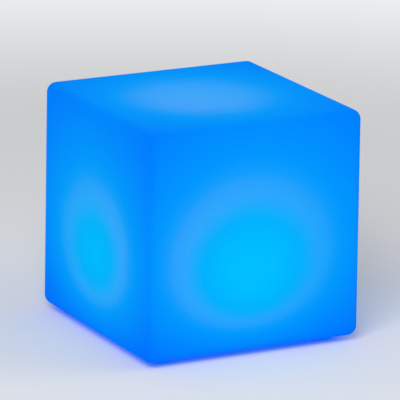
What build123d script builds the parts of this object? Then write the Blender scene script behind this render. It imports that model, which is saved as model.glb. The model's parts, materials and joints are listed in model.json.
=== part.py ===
from build123d import *
import os
from math import cos, hypot, radians, sin, tan

# A battery-powered light cube. The hollow moulded shell stands on four moulded feet, and a round
# light module is screwed up into a recess in its base. Millimetres, +Z up, origin on the floor
# under the centre of the cube. -Y is the face towards the viewer.

# ---- Driving dimensions: the moulded shell ----
cube_width = 300.0          # across the flats where the side faces meet the base
body_height = 293.0         # base to top, without the feet
draft_angle = 0.2           # degrees that each side face leans in, so that the shell leaves its mould
edge_radius = 13.0
shell_wall = 3.5
foot_height = 7.0
foot_radius = 17.0          # where the foot leaves the base
foot_lean = 1.5             # how much narrower the foot is at the floor
foot_inset = 37.0           # foot centre from the two side faces beside it
foot_edge_radius = 3.5
foot_root_radius = 2.5
recess_depth = 10.0
recess_gap = 3.0            # round the rim of the module
recess_mouth_radius = 3.0
recess_bevel = 1.5          # inner corner of the recess
opening_gap = 2.0           # round the cup of the module

# ---- Driving dimensions: the module's casing ----
flange_width = 18.0         # flange beyond the cup
flange_thickness = 3.5
flange_bevel = 0.8
gasket_thickness = 1.5
gasket_margin = 0.5         # from the gasket's edges to the flange rim and the opening
cup_wall = 3.0
bay_height = 23.0           # free height for the battery and the boards
rim_stand = 0.9             # rim of the cup above the lamp board
post_wall = 1.9             # plastic round a screw in a moulded post

# ---- Driving dimensions: fasteners ----
module_screw_count = 6
module_screw_radius = 2.0
module_screw_reach = 8.0    # length inside the threaded insert
module_head_radius = 3.8
module_head_height = 2.4
insert_radius = 3.0
insert_length = 10.0
boss_wall = 3.5             # plastic that has flowed round an insert
boss_cap = 3.0              # and over it
boss_bevel = 2.0
small_screw_radius = 1.5
small_screw_reach = 6.5     # length inside a moulded post
small_head_radius = 2.6
small_head_height = 1.8
tiny_screw_radius = 1.1
tiny_screw_reach = 3.6
tiny_head_radius = 2.1
tiny_head_height = 1.4
hex_share = 0.55            # hexagon socket over the head's radius, and its depth over the height
head_bevel_share = 0.45     # bevel of a head over its height

# ---- Driving dimensions: lamp board and dome ----
plate_gap = 1.1             # heat plate to the dome's posts
plate_thickness = 1.5
plate_post_inset = 6.0      # posts inside the lamp board's edge
plate_post_angle = 22.0     # degrees from the X axis to each of the four posts
lamp_board_margin = 2.0     # lamp board inside the plate's edge
lamp_board_thickness = 1.6
led_side = 5.0
led_height = 1.6
outer_led_count = 12
outer_led_circle = 34.0
inner_led_count = 4
inner_led_circle = 14.0
inner_led_start = 45.0      # degrees from the X axis to the first inner lamp
receiver_width = 6.0
receiver_depth = 3.0
receiver_height = 7.0
receiver_lens_radius = 2.2
lead_hole_radius = 5.0
dome_gasket_thickness = 1.0
dome_gasket_width = 7.0
dome_flange_thickness = 2.5
dome_head_gap = 0.9         # dome to the heads of its screws
dome_rise = 18.0            # from the dome's flange to its crown
dome_wall = 2.0
dome_screw_count = 4
dome_post_inset = 1.5       # dome's screws inside the cup's bore

# ---- Driving dimensions: battery ----
cell_radius = 9.1
cell_length = 65.0
cell_wrap = 0.2
cell_gap = 0.4              # between the two wrapped cells
cell_stand = 0.5            # under the cells
cell_groove_depth = 0.6
cell_groove_width = 1.2
cell_groove_place = 4.0     # from the positive end
cell_button_radius = 3.0
cell_button_height = 0.8
wrap_lip = 1.6              # wrap folded over the end of a cell
battery_front_y = 4.4       # nearest side of the wrapped pair to the controls
battery_room = 1.6          # between the battery's rear corners and the cup
strap_room = 0.2            # between the strap's rear ear and the dome's post
tab_thickness = 0.3
tab_width = 7.0
saddle_x = 22.0
saddle_thickness = 2.0
saddle_height = 6.0
strap_width = 12.0
strap_thickness = 1.5
strap_ear = 6.0
strap_gap = 0.4             # between the strap's legs and the cells

# ---- Driving dimensions: control board ----
board_length = 60.0
board_width = 21.0
board_thickness = 1.6
board_corner = 1.5
board_stand = 5.0
board_gap = 0.8             # between the board and the strap's ear
board_screw_inset = 2.9
header_height = 6.0
header_depth = 5.0
header_wall = 1.5
lead_radius = 0.6
lead_bend = 3.6
ribbon_thickness = 1.0
ribbon_pitch = 2.0          # from one wire of a ribbon to the next
lamp_ribbon_wires = 4
ribbon_crown = 4.0          # upper runs of the ribbons below the heat plate
lamp_ribbon_rise = 3.5      # lamp ribbon above the lamp board
lamp_ribbon_run = 5.5       # from the lead hole to the header on the lamp board
terminal_block = 6.0
lead_entry = 2.75           # straight run of a battery lead into its block
header_offset = 6.0         # small headers from the board's centre line, towards the controls
chip_inset = 4.5            # row of chips from the battery side of the board
controller_length = 8.0
controller_width = 6.0
controller_height = 1.5
controller_x = -13.0
coil_side = 6.0
coil_height = 3.0
coil_x = 12.0
capacitor_radius = 2.5
capacitor_height = 7.0
capacitor_x = 18.5
colour_chip_length = 3.0
colour_chip_width = 1.6
colour_chip_height = 1.1
colour_chip_pitch = 5.0

# ---- Driving dimensions: push switch and charging socket ----
control_y = -37.0
switch_x = -15.0
socket_x = 15.0
seal_thickness = 1.0
seal_margin = 0.4           # seal edge inside the bezel's edge
bezel_radius = 7.5
bezel_thickness = 1.8
barrel_radius = 6.0
barrel_behind = 7.0         # barrel above the module's floor
barrel_bore_radius = 4.8
chamber_radius = 5.2
button_stand = 1.0          # button face below the bezel
button_travel = 1.5
button_shoulder = 1.2
button_neck = 3.2           # bezel mouth to the ledge that keeps the button in
button_bevel = 0.6
button_dish = 0.25          # depth of the hollow in the button's face
button_stem_radius = 1.2
button_stop_gap = 0.4       # stem to the base when the button is pressed home
boot_top_radius = 3.0       # rubber return cone, at the button
boot_base_radius = 4.6      # and at the base of the switch
boot_wall = 0.6
switch_spigot = 3.0
switch_base_thickness = 2.5
terminal_width = 2.0
terminal_thickness = 0.6
terminal_height = 3.5
terminal_pitch = 5.0
nut_flats = 15.0
nut_thickness = 2.5
socket_bezel_radius = 6.8
socket_bezel_thickness = 1.5
socket_barrel_radius = 5.5
socket_behind = 6.0
socket_bore_radius = 3.1
socket_bore_depth = 10.0
socket_seat_radius = 4.5
socket_base_thickness = 2.0
socket_pin_radius = 1.05
socket_pin_recess = 2.2     # pin tip inside the mouth
socket_collar_radius = 2.0
socket_collar_thickness = 0.6
socket_tail = 3.5
contact_thickness = 0.4
contact_width = 1.6
contact_offset = 2.5
contact_reach = 5.5
contact_shoulder = 2.4
socket_nut_flats = 14.0

# ---- Driving dimensions: rubber port flap ----
flap_gap = 0.5              # round the bezel
flap_wall = 1.2
flap_lid = 1.5
flap_lid_gap = 0.2          # between the lid and the bezel
flap_bevel = 0.5
flap_stem_gap = 0.3         # round the stem in the socket's mouth
flap_stem_length = 1.8
flap_hinge_offset = 12.5    # hinge line from the socket's axis
flap_strap_width = 5.0
flap_strap_thickness = 1.2
flap_hinge_gap = 0.2        # hinge knuckle to its anchor
anchor_bevel = 0.6          # clears the strap when the flap hangs open
flap_tab_length = 4.5
flap_tab_width = 7.0
flap_tab_thickness = 1.4
anchor_length = 7.0
anchor_width = 7.0
anchor_stud_radius = 1.5
anchor_head_radius = 2.3
anchor_head_height = 1.6

# ---- Clearances ----
running_gap = 0.08          # button in its barrel
press_gap = 0.05            # parts pushed together
thread_gap = 0.06           # screws and barrels in their threads
hole_gap = 0.15             # barrels and studs through plain holes
screw_gap = 0.25            # screws through plain holes

# ---- Levels, counted up from the floor ----
base_z = foot_height
recess_z = base_z + recess_depth
floor_z = recess_z - gasket_thickness
panel_z = floor_z - flange_thickness
plate_z = floor_z + bay_height
lamp_board_z = plate_z + plate_thickness
lamp_z = lamp_board_z + lamp_board_thickness
rim_z = lamp_z + rim_stand
dome_z = rim_z + dome_gasket_thickness
dome_flange_z = dome_z + dome_flange_thickness
bezel_z = panel_z - seal_thickness
board_z = floor_z + board_stand
board_top_z = board_z + board_thickness
header_z = board_top_z + header_height

# ---- Radii and places worked out from the values above ----
wrap_radius = cell_radius + cell_wrap
wrapped_half = cell_length / 2 + cell_wrap
front_cell_y = battery_front_y + wrap_radius
rear_cell_y = front_cell_y + 2 * wrap_radius + cell_gap
battery_rear_y = rear_cell_y + wrap_radius
strap_rear_y = battery_rear_y + strap_gap + strap_thickness
small_post_radius = small_screw_radius + post_wall
tiny_post_radius = tiny_screw_radius + post_wall
battery_reach = hypot(wrapped_half + tab_thickness, battery_rear_y) + battery_room
strap_end_reach = strap_rear_y + strap_ear + strap_room + small_post_radius + dome_post_inset
cup_bore = max(battery_reach, strap_end_reach)
cup_radius = cup_bore + cup_wall
flange_radius = cup_radius + flange_width
recess_radius = flange_radius + recess_gap
opening_radius = cup_radius + opening_gap
module_screw_circle = (opening_radius + flange_radius) / 2
dome_screw_circle = cup_bore - dome_post_inset
dome_radius = dome_screw_circle - small_head_radius - dome_head_gap
plate_radius = dome_screw_circle - small_post_radius - plate_gap
lamp_board_radius = plate_radius - lamp_board_margin
plate_post_circle = lamp_board_radius - plate_post_inset
foot_place = cube_width / 2 - foot_inset
cell_z = floor_z + cell_stand + wrap_radius
strap_front_y = battery_front_y - strap_gap - strap_thickness
board_y = strap_front_y - strap_ear - board_gap - board_width / 2
strap_top_z = cell_z + wrap_radius
strap_ear_z = floor_z + tiny_screw_reach + tiny_post_radius
flap_axis_y = control_y + flap_hinge_offset
flap_axis_z = panel_z - flap_strap_thickness / 2
socket_mouth_z = bezel_z - socket_bezel_thickness
flap_lid_z = socket_mouth_z - flap_lid_gap
flap_radius = socket_bezel_radius + flap_gap + flap_wall
ribbon_crown_z = plate_z - ribbon_crown
lamp_ribbon_z = lamp_z + lamp_ribbon_rise
lamp_header_y = board_y - lamp_ribbon_run - header_depth / 2
small_header_y = board_y - header_offset
battery_lead_x = wrapped_half + lead_radius + press_gap
terminal_face_x = battery_lead_x - lead_bend - lead_entry
button_ledge_z = bezel_z - bezel_thickness + button_neck
barrel_end_z = floor_z + barrel_behind
spigot_z = barrel_end_z - switch_spigot
terminal_z = barrel_end_z + switch_base_thickness
socket_seat_z = socket_mouth_z + socket_bore_depth
socket_end_z = floor_z + socket_behind
socket_base_z = socket_end_z + socket_base_thickness
anchor_y = flap_axis_y + flap_strap_thickness / 2 + flap_hinge_gap + anchor_length / 2


# ---- Plain forms that the pieces share ----
def disc(radius, thickness, z, x=0.0, y=0.0):
    """Upright round disc or rod standing on height z."""
    return Pos(x, y, z) * Cylinder(radius, thickness, align=(Align.CENTER, Align.CENTER, Align.MIN))


def ring(radius, bore, thickness, z, x=0.0, y=0.0):
    """Flat ring standing on height z."""
    return disc(radius, thickness, z, x, y) - disc(bore, thickness, z, x, y)


def block(length, width, height, x, y, z):
    """Upright block standing on height z, centred on x and y."""
    return Pos(x, y, z) * Box(length, width, height, align=(Align.CENTER, Align.CENTER, Align.MIN))


def round_plate(length, width, height, corner, x, y, z):
    """Block with rounded upright corners."""
    return Pos(x, y, z) * extrude(RectangleRounded(length, width, corner), amount=height)


def on_circle(radius, count, start=0.0):
    """Places evenly spread round the Z axis, from an angle in degrees."""
    turns = [radians(start + 360.0 * i / count) for i in range(count)]
    return [(radius * cos(turn), radius * sin(turn)) for turn in turns]


def four_places(x, y, centre_y=0.0):
    """The four mirrored places at distances x and y from a centre on the Y axis."""
    return [(side_x * x, centre_y + side_y * y) for side_x in (-1, 1) for side_y in (-1, 1)]


def edges_at(shape, z):
    """Edges that lie flat at height z."""
    return shape.edges().filter_by_position(Axis.Z, z - 0.001, z + 0.001)


def screw(shank_radius, length, head_radius, head_height, x, y, seat_z, head_up):
    """Button-head screw with a hexagon socket; its head sits on height seat_z."""
    head = extrude(Circle(head_radius), amount=head_height)
    head = chamfer(edges_at(head, head_height), head_height * head_bevel_share)
    socket_depth = head_height * hex_share
    socket = extrude(RegularPolygon(head_radius * hex_share, 6), amount=socket_depth)
    shank = Pos(0, 0, -length) * extrude(Circle(shank_radius), amount=length)
    body = head - Pos(0, 0, head_height - socket_depth) * socket + shank
    if not head_up:
        body = Rot(180, 0, 0) * body
    return Pos(x, y, seat_z) * body


def lead(points):
    """Round insulated lead along straight runs joined by arcs."""
    path = FilletPolyline(*points, radius=lead_bend)
    section = Plane(origin=path @ 0, z_dir=path % 0) * Circle(lead_radius)
    return sweep(section, path=path)


def ribbon(x, width, route):
    """Flat ribbon of leads, centred on x, along a route of (y, z) points joined by arcs."""
    path = FilletPolyline(*[(x, y, z) for y, z in route], radius=lead_bend)
    plane = Plane(origin=path @ 0, x_dir=(1, 0, 0), z_dir=path % 0)
    return sweep(plane * Rectangle(width, ribbon_thickness), path=path)


# ---- Shell ----
def drafted_cube(inset):
    """The cube's rounded body, drawn in by inset all round."""
    lean = tan(radians(draft_angle))
    width = cube_width - 2 * inset * (1 + lean)
    form = Pos(0, 0, base_z + inset) * extrude(
        Rectangle(width, width), amount=body_height - 2 * inset, taper=draft_angle
    )
    return fillet(form.edges(), edge_radius - inset)


def foot_form(inset, top_z):
    """One foot under the origin, drawn in by inset, reaching up to top_z."""
    foot = Pos(0, 0, inset) * Cone(
        foot_radius - foot_lean - inset,
        foot_radius - inset,
        foot_height,
        align=(Align.CENTER, Align.CENTER, Align.MIN),
    )
    if inset < foot_edge_radius:
        foot = fillet(edges_at(foot, inset), foot_edge_radius - inset)
    reach = top_z - foot_height - inset
    if reach > 0:
        foot = foot + disc(foot_radius - inset, reach, foot_height + inset)
    return foot


def cube_shell():
    """Hollow shell of one even wall, with its feet, module recess and insert bosses."""
    outer = drafted_cube(0.0)
    inner = drafted_cube(shell_wall)
    for x, y in four_places(foot_place, foot_place):
        outer = outer + Pos(x, y, 0) * foot_form(0.0, base_z)
        inner = inner + Pos(x, y, 0) * foot_form(shell_wall, base_z + shell_wall + edge_radius)
    roots = edges_at(outer, base_z).filter_by(GeomType.CIRCLE)
    roots = [edge for edge in roots if abs(edge.radius - foot_radius) < foot_radius / 100]
    outer = fillet(roots, foot_root_radius)
    recess = disc(recess_radius, recess_depth, base_z)
    outer = outer - chamfer(edges_at(recess, recess_z), recess_bevel)
    mouth = edges_at(outer, base_z).filter_by(GeomType.CIRCLE)
    mouth = [edge for edge in mouth if abs(edge.radius - recess_radius) < recess_gap / 2]
    outer = fillet(mouth, recess_mouth_radius)
    island_radius = recess_radius + shell_wall
    island = disc(island_radius, recess_depth + shell_wall, base_z)
    island = chamfer(edges_at(island, recess_z + shell_wall), recess_bevel + shell_wall / 2)
    for x, y in on_circle(module_screw_circle, module_screw_count):
        boss = disc(insert_radius + boss_wall, insert_length + boss_cap, recess_z, x, y)
        boss = chamfer(edges_at(boss, recess_z + insert_length + boss_cap), boss_bevel)
        island = island + boss
    shell = outer - (inner - island)
    shell = shell - disc(opening_radius, 2 * recess_depth, base_z)
    for x, y in on_circle(module_screw_circle, module_screw_count):
        shell = shell - disc(insert_radius + press_gap, insert_length, recess_z, x, y)
    return shell


def threaded_inserts():
    """Brass inserts moulded into the bosses over the recess."""
    bore = module_screw_radius + thread_gap
    return [
        ring(insert_radius, bore, insert_length, recess_z, x, y)
        for x, y in on_circle(module_screw_circle, module_screw_count)
    ]


# ---- Module casing ----
def module_gasket():
    """Flat sealing ring between the module's flange and the shell."""
    gasket = ring(
        flange_radius - gasket_margin, opening_radius + gasket_margin, gasket_thickness, floor_z
    )
    for x, y in on_circle(module_screw_circle, module_screw_count):
        gasket = gasket - disc(module_screw_radius + screw_gap, gasket_thickness, floor_z, x, y)
    return gasket


def plate_posts():
    """Places of the four posts that carry the heat plate."""
    turn = radians(plate_post_angle)
    return four_places(plate_post_circle * cos(turn), plate_post_circle * sin(turn))


def board_posts():
    """Places of the four posts that carry the control board."""
    reach_x = board_length / 2 - board_screw_inset
    return four_places(reach_x, board_width / 2 - board_screw_inset, board_y)


def strap_posts():
    """Places of the two posts that hold the battery strap."""
    return [(0.0, strap_front_y - strap_ear / 2), (0.0, strap_rear_y + strap_ear / 2)]


def saddle(x):
    """Rib across the floor with a hollow for each cell."""
    width = battery_rear_y - battery_front_y
    middle_y = (battery_rear_y + battery_front_y) / 2
    rib = block(saddle_thickness, width, saddle_height, x, middle_y, floor_z)
    for y in (front_cell_y, rear_cell_y):
        hollow = Rot(0, 90, 0) * Cylinder(wrap_radius + press_gap, 2 * saddle_thickness)
        rib = rib - Pos(x, y, cell_z + press_gap) * hollow
    return rib


def module_housing():
    """Moulded cup and flange with every post, saddle and panel hole."""
    flange = disc(flange_radius, flange_thickness, panel_z)
    flange = chamfer(edges_at(flange, panel_z), flange_bevel)
    cup = ring(cup_radius, cup_bore, rim_z - floor_z, floor_z)
    body = flange + cup
    for x, y in on_circle(dome_screw_circle, dome_screw_count):
        body = body + disc(small_post_radius, rim_z - floor_z, floor_z, x, y)
    for x, y in plate_posts():
        body = body + disc(small_post_radius, bay_height, floor_z, x, y)
    for x, y in board_posts():
        body = body + disc(tiny_post_radius, board_stand, floor_z, x, y)
    for x, y in strap_posts():
        body = body + disc(tiny_post_radius, strap_ear_z - floor_z, floor_z, x, y)
    body = body + saddle(-saddle_x) + saddle(saddle_x)
    for x, y in on_circle(dome_screw_circle, dome_screw_count):
        depth = small_screw_reach + small_screw_radius
        body = body - disc(small_screw_radius + thread_gap, depth, rim_z - depth, x, y)
    for x, y in plate_posts():
        depth = small_screw_reach + small_screw_radius
        body = body - disc(small_screw_radius + thread_gap, depth, plate_z - depth, x, y)
    for x, y in board_posts():
        depth = tiny_screw_reach + tiny_screw_radius
        body = body - disc(tiny_screw_radius + thread_gap, depth, board_z - depth, x, y)
    for x, y in strap_posts():
        depth = tiny_screw_reach + tiny_screw_radius
        body = body - disc(tiny_screw_radius + thread_gap, depth, strap_ear_z - depth, x, y)
    for x, y in on_circle(module_screw_circle, module_screw_count):
        body = body - disc(module_screw_radius + screw_gap, flange_thickness, panel_z, x, y)
    body = body - disc(barrel_radius + hole_gap, flange_thickness, panel_z, switch_x, control_y)
    body = body - disc(
        socket_barrel_radius + hole_gap, flange_thickness, panel_z, socket_x, control_y
    )
    body = body - disc(
        anchor_stud_radius + hole_gap, flange_thickness, panel_z, socket_x, anchor_y
    )
    return body


def module_screws():
    """Screws from below, through the flange and the gasket into the inserts."""
    length = flange_thickness + gasket_thickness + module_screw_reach
    return [
        screw(module_screw_radius, length, module_head_radius, module_head_height, x, y, panel_z, False)
        for x, y in on_circle(module_screw_circle, module_screw_count)
    ]


# ---- Lamp board under its dome ----
def heat_plate():
    """Aluminium disc that carries the lamp board and takes its heat."""
    plate = disc(plate_radius, plate_thickness, plate_z)
    for x, y in plate_posts():
        plate = plate - disc(small_screw_radius + screw_gap, plate_thickness, plate_z, x, y)
    return plate - disc(lead_hole_radius, plate_thickness, plate_z, 0, board_y)


def lamp_board():
    """Round circuit board for the lamps."""
    board = disc(lamp_board_radius, lamp_board_thickness, lamp_board_z)
    for x, y in plate_posts():
        board = board - disc(small_screw_radius + screw_gap, lamp_board_thickness, lamp_board_z, x, y)
    return board - disc(lead_hole_radius, lamp_board_thickness, lamp_board_z, 0, board_y)


def led_package(x, y, turn):
    """One square lamp."""
    return Pos(x, y, lamp_z) * Rot(0, 0, turn) * block(led_side, led_side, led_height, 0, 0, 0)


def led_chips():
    """An outer ring of lamps and an inner group round the receiver."""
    chips = []
    for index, (x, y) in enumerate(on_circle(outer_led_circle, outer_led_count)):
        chips.append(led_package(x, y, 360.0 * index / outer_led_count))
    for index, (x, y) in enumerate(on_circle(inner_led_circle, inner_led_count, inner_led_start)):
        chips.append(led_package(x, y, inner_led_start + 360.0 * index / inner_led_count))
    return chips


def ir_receiver():
    """Black receiver for the hand control, a small block with a half-round lens."""
    body = block(receiver_width, receiver_depth, receiver_height, 0, 0, lamp_z)
    body = fillet(body.edges().filter_by(Axis.Z), receiver_depth / 10)
    lens_z = lamp_z + receiver_height - receiver_lens_radius
    dome = Sphere(receiver_lens_radius) & block(
        receiver_width, receiver_width, receiver_width, 0, -receiver_width / 2, -receiver_width / 2
    )
    return body + Pos(0, -receiver_depth / 2, lens_z - receiver_height / 6) * dome


def dome_crown(z_low, radius_low, rise):
    """Radius and centre height of the dome's round crown."""
    crown = (radius_low**2 + rise**2) / (2 * rise)
    return crown, z_low + rise - crown


def light_dome():
    """Frosted cover over the lamps: a shallow round dome on a flat flange."""
    crown, centre_z = dome_crown(dome_flange_z, dome_radius, dome_rise)
    keep = disc(cup_radius, crown, dome_z)
    outer = Pos(0, 0, centre_z) * Sphere(crown) & keep
    outer = outer & disc(dome_radius, crown, dome_z)
    flange = disc(cup_radius, dome_flange_thickness, dome_z)
    body = outer + flange
    body = body - Pos(0, 0, centre_z) * Sphere(crown - dome_wall)
    for x, y in on_circle(dome_screw_circle, dome_screw_count):
        body = body - disc(small_screw_radius + screw_gap, dome_flange_thickness, dome_z, x, y)
    return body


def dome_gasket():
    """Flat seal between the cup's rim and the dome."""
    gasket = ring(cup_radius, cup_radius - dome_gasket_width, dome_gasket_thickness, rim_z)
    for x, y in on_circle(dome_screw_circle, dome_screw_count):
        gasket = gasket - disc(small_screw_radius + screw_gap, dome_gasket_thickness, rim_z, x, y)
    return gasket


def dome_screws():
    """Screws that press the dome on its gasket."""
    length = dome_flange_thickness + dome_gasket_thickness + small_screw_reach
    return [
        screw(small_screw_radius, length, small_head_radius, small_head_height, x, y, dome_flange_z, True)
        for x, y in on_circle(dome_screw_circle, dome_screw_count)
    ]


def plate_screws():
    """Screws through the lamp board and the heat plate into their posts."""
    length = lamp_board_thickness + plate_thickness + small_screw_reach
    return [
        screw(small_screw_radius, length, small_head_radius, small_head_height, x, y, lamp_z, True)
        for x, y in plate_posts()
    ]


# ---- Battery ----
def along_x(shape, y):
    """Lay an upright cell form along the X axis at the cells' height."""
    return Pos(0, y, cell_z) * Rot(0, 90, 0) * shape


def battery_cells():
    """Two steel cans with a crimped groove and a raised positive end."""
    can = disc(cell_radius, cell_length, -cell_length / 2)
    groove_z = cell_length / 2 - cell_groove_place
    groove = ring(cell_radius, cell_radius - cell_groove_depth, cell_groove_width, groove_z)
    button = disc(cell_button_radius, cell_button_height, cell_length / 2 - cell_button_height)
    well = disc(cell_radius - wrap_lip, cell_button_height, cell_length / 2 - cell_button_height)
    can = can - groove - well + button
    return [along_x(can, y) for y in (front_cell_y, rear_cell_y)]


def battery_wraps():
    """Shrunk sleeves round the cans, folded over both ends."""
    length = cell_length + 2 * cell_wrap
    sleeve = disc(wrap_radius, length, -length / 2)
    sleeve = sleeve - disc(cell_radius, cell_length, -cell_length / 2)
    sleeve = sleeve - disc(cell_radius - wrap_lip, length, -length / 2)
    return [along_x(sleeve, y) for y in (front_cell_y, rear_cell_y)]


def battery_tabs():
    """Nickel strips that join the two cells at each end, stepped in to reach the cans."""
    tabs = []
    length = rear_cell_y - front_cell_y + tab_width
    middle_y = (rear_cell_y + front_cell_y) / 2
    for side in (-1, 1):
        x = side * (wrapped_half + tab_thickness / 2)
        strip = block(tab_thickness, length, tab_width, x, middle_y, cell_z - tab_width / 2)
        for y in (front_cell_y, rear_cell_y):
            step = Rot(0, 90, 0) * Cylinder(cell_button_radius, cell_wrap)
            strip = strip + Pos(side * (cell_length + cell_wrap) / 2, y, cell_z) * step
        tabs.append(strip)
    return tabs


def battery_strap():
    """Bridge over the two cells, with an ear at each end for its screw."""
    span = strap_rear_y - strap_front_y
    middle_y = (strap_rear_y + strap_front_y) / 2
    height = strap_top_z + strap_thickness - strap_ear_z
    bridge = block(strap_width, span, height, 0, middle_y, strap_ear_z)
    hollow_height = strap_top_z - strap_ear_z
    hollow = block(strap_width, span - 2 * strap_thickness, hollow_height, 0, middle_y, strap_ear_z)
    bridge = fillet(
        (bridge - hollow).edges().filter_by(Axis.X).group_by(Axis.Z)[-1], strap_thickness
    )
    for side, (x, y) in zip((-1, 1), strap_posts()):
        ear = round_plate(strap_width, strap_ear, strap_thickness, strap_thickness, x, y, strap_ear_z)
        inner = block(
            strap_width, strap_ear / 2, strap_thickness, x, y - side * strap_ear / 4, strap_ear_z
        )
        ear = ear + inner
        hole = disc(tiny_screw_radius + screw_gap, strap_thickness, strap_ear_z, x, y)
        bridge = bridge + (ear - hole)
    return bridge


def strap_screws():
    """Screws through the strap's ears."""
    length = strap_thickness + tiny_screw_reach
    seat_z = strap_ear_z + strap_thickness
    return [
        screw(tiny_screw_radius, length, tiny_head_radius, tiny_head_height, x, y, seat_z, True)
        for x, y in strap_posts()
    ]


# ---- Control board ----
def control_board():
    """Board for charging, battery care and colour control."""
    board = round_plate(board_length, board_width, board_thickness, board_corner, 0, board_y, board_z)
    for x, y in board_posts():
        board = board - disc(tiny_screw_radius + screw_gap, board_thickness, board_z, x, y)
    return board


def board_screws():
    """Screws through the control board's corners."""
    length = board_thickness + tiny_screw_reach
    return [
        screw(tiny_screw_radius, length, tiny_head_radius, tiny_head_height, x, y, board_top_z, True)
        for x, y in board_posts()
    ]


def header(width, x, y, z):
    """Connector for a ribbon of this width, standing on height z."""
    return block(width + 2 * header_wall, header_depth, header_height, x, y, z)


def board_headers():
    """Connectors on the control board for the lamps, the switch and the socket."""
    return [
        header(ribbon_width(lamp_ribbon_wires), 0, board_y, board_top_z),
        header(switch_ribbon_width(), switch_x, small_header_y, board_top_z),
        header(socket_ribbon_width(), socket_ribbon_x(), small_header_y, board_top_z),
    ]


def lamp_board_header():
    """Connector on the lamp board, beside the hole for its leads."""
    return header(ribbon_width(lamp_ribbon_wires), 0, lamp_header_y, lamp_z)


def battery_terminals():
    """Blocks near the ends of the control board that take the battery's two leads."""
    return [
        block(
            terminal_block,
            terminal_block,
            header_height,
            side * (terminal_face_x - terminal_block / 2),
            board_y,
            board_top_z,
        )
        for side in (-1, 1)
    ]


def board_chips():
    """Controller, coil, capacitor and the three switching chips of the colours."""
    row_y = board_y + board_width / 2 - chip_inset
    controller = block(
        controller_length, controller_width, controller_height, controller_x, row_y, board_top_z
    )
    coil = block(coil_side, coil_side, coil_height, coil_x, row_y, board_top_z)
    coil = chamfer(coil.edges().filter_by(Axis.Z), coil_side / 5)
    capacitor = disc(capacitor_radius, capacitor_height, board_top_z, capacitor_x, row_y)
    colour_chips = [
        block(colour_chip_length, colour_chip_width, colour_chip_height, x, row_y, board_top_z)
        for x in (-colour_chip_pitch, 0.0, colour_chip_pitch)
    ]
    return [controller, coil, capacitor] + colour_chips


# ---- Leads ----
def battery_leads():
    """One lead from each end of the battery to its terminal block."""
    leads = []
    for side in (-1, 1):
        x = side * battery_lead_x
        start = (x, front_cell_y - tab_width / 2, cell_z)
        end = (side * terminal_face_x, board_y, cell_z)
        leads.append(lead([start, (x, board_y, cell_z), end]))
    return leads


def ribbon_width(wires):
    """Width of a ribbon with this many wires."""
    return wires * ribbon_pitch


def switch_ribbon_width():
    """Width of the ribbon that covers both terminals of the switch."""
    return terminal_pitch + terminal_width


def socket_ribbon_x():
    """Centre of the ribbon over the socket's pin and side contact."""
    return socket_x + (contact_offset + contact_thickness / 2) / 2


def socket_ribbon_width():
    """Width of the ribbon that covers the socket's pin and side contact."""
    return contact_offset + contact_thickness / 2 + ribbon_pitch


def lamp_leads():
    """Ribbon up through the heat plate and the lamp board into the header there."""
    end_y = lamp_header_y + header_depth / 2
    route = [(board_y, header_z), (board_y, lamp_ribbon_z), (end_y, lamp_ribbon_z)]
    return ribbon(0.0, ribbon_width(lamp_ribbon_wires), route)


def bridge_ribbon(x, width, start_z):
    """Ribbon that rises from a control, crosses over and drops into its header."""
    route = [
        (control_y, start_z),
        (control_y, ribbon_crown_z),
        (small_header_y, ribbon_crown_z),
        (small_header_y, header_z),
    ]
    return ribbon(x, width, route)


def switch_leads():
    """Ribbon from the push switch."""
    return bridge_ribbon(switch_x, switch_ribbon_width(), terminal_z + terminal_height)


def socket_leads():
    """Ribbon from the charging socket."""
    return bridge_ribbon(socket_ribbon_x(), socket_ribbon_width(), socket_base_z + socket_tail)


# ---- Push switch, in the module's floor ----
def hex_nut(flats, bore, thickness, x, y):
    """Hexagon nut on the module's floor."""
    nut = extrude(RegularPolygon(flats / 2, 6, major_radius=False), amount=thickness)
    return Pos(x, y, floor_z) * nut - disc(bore, thickness, floor_z, x, y)


def switch_barrel():
    """Metal barrel with its bezel below the panel and a ledge that keeps the button in."""
    mouth_z = bezel_z - bezel_thickness
    bezel = disc(bezel_radius, bezel_thickness, mouth_z)
    bezel = chamfer(edges_at(bezel, mouth_z), bezel_thickness / 3)
    barrel = bezel + disc(barrel_radius, barrel_end_z - bezel_z, bezel_z)
    barrel = barrel - disc(barrel_bore_radius, button_neck, mouth_z)
    barrel = barrel - disc(chamber_radius, barrel_end_z - button_ledge_z, button_ledge_z)
    return Pos(switch_x, control_y, 0) * barrel


def power_button():
    """Push button with a dished face, a shoulder behind the ledge and a stem for the contacts."""
    face_z = bezel_z - bezel_thickness - button_stand
    radius = barrel_bore_radius - running_gap
    button = disc(radius, button_ledge_z - face_z, face_z)
    button = chamfer(edges_at(button, face_z), button_bevel)
    button = button + disc(chamber_radius - running_gap, button_shoulder, button_ledge_z)
    stem_z = button_ledge_z + button_shoulder
    stem_length = spigot_z - stem_z - button_travel - button_stop_gap
    button = button + disc(button_stem_radius, stem_length, stem_z)
    dish_edge = radius - 2 * button_bevel
    dish_radius = (dish_edge**2 + button_dish**2) / (2 * button_dish)
    dish = Pos(0, 0, face_z + button_dish - dish_radius) * Sphere(dish_radius)
    return Pos(switch_x, control_y, 0) * (button - dish)


def return_boot():
    """Rubber cone between the button's shoulder and the base, which pushes the button back."""
    low_z = button_ledge_z + button_shoulder
    height = spigot_z - low_z
    stand = (Align.CENTER, Align.CENTER, Align.MIN)
    boot = Cone(boot_top_radius, boot_base_radius, height, align=stand)
    boot = boot - Cone(boot_top_radius - boot_wall, boot_base_radius - boot_wall, height, align=stand)
    return Pos(switch_x, control_y, low_z) * boot


def switch_base():
    """Insulating base that closes the barrel."""
    spigot = disc(chamber_radius - press_gap, switch_spigot, spigot_z)
    base = disc(barrel_radius, switch_base_thickness, barrel_end_z)
    return Pos(switch_x, control_y, 0) * (spigot + base)


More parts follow.
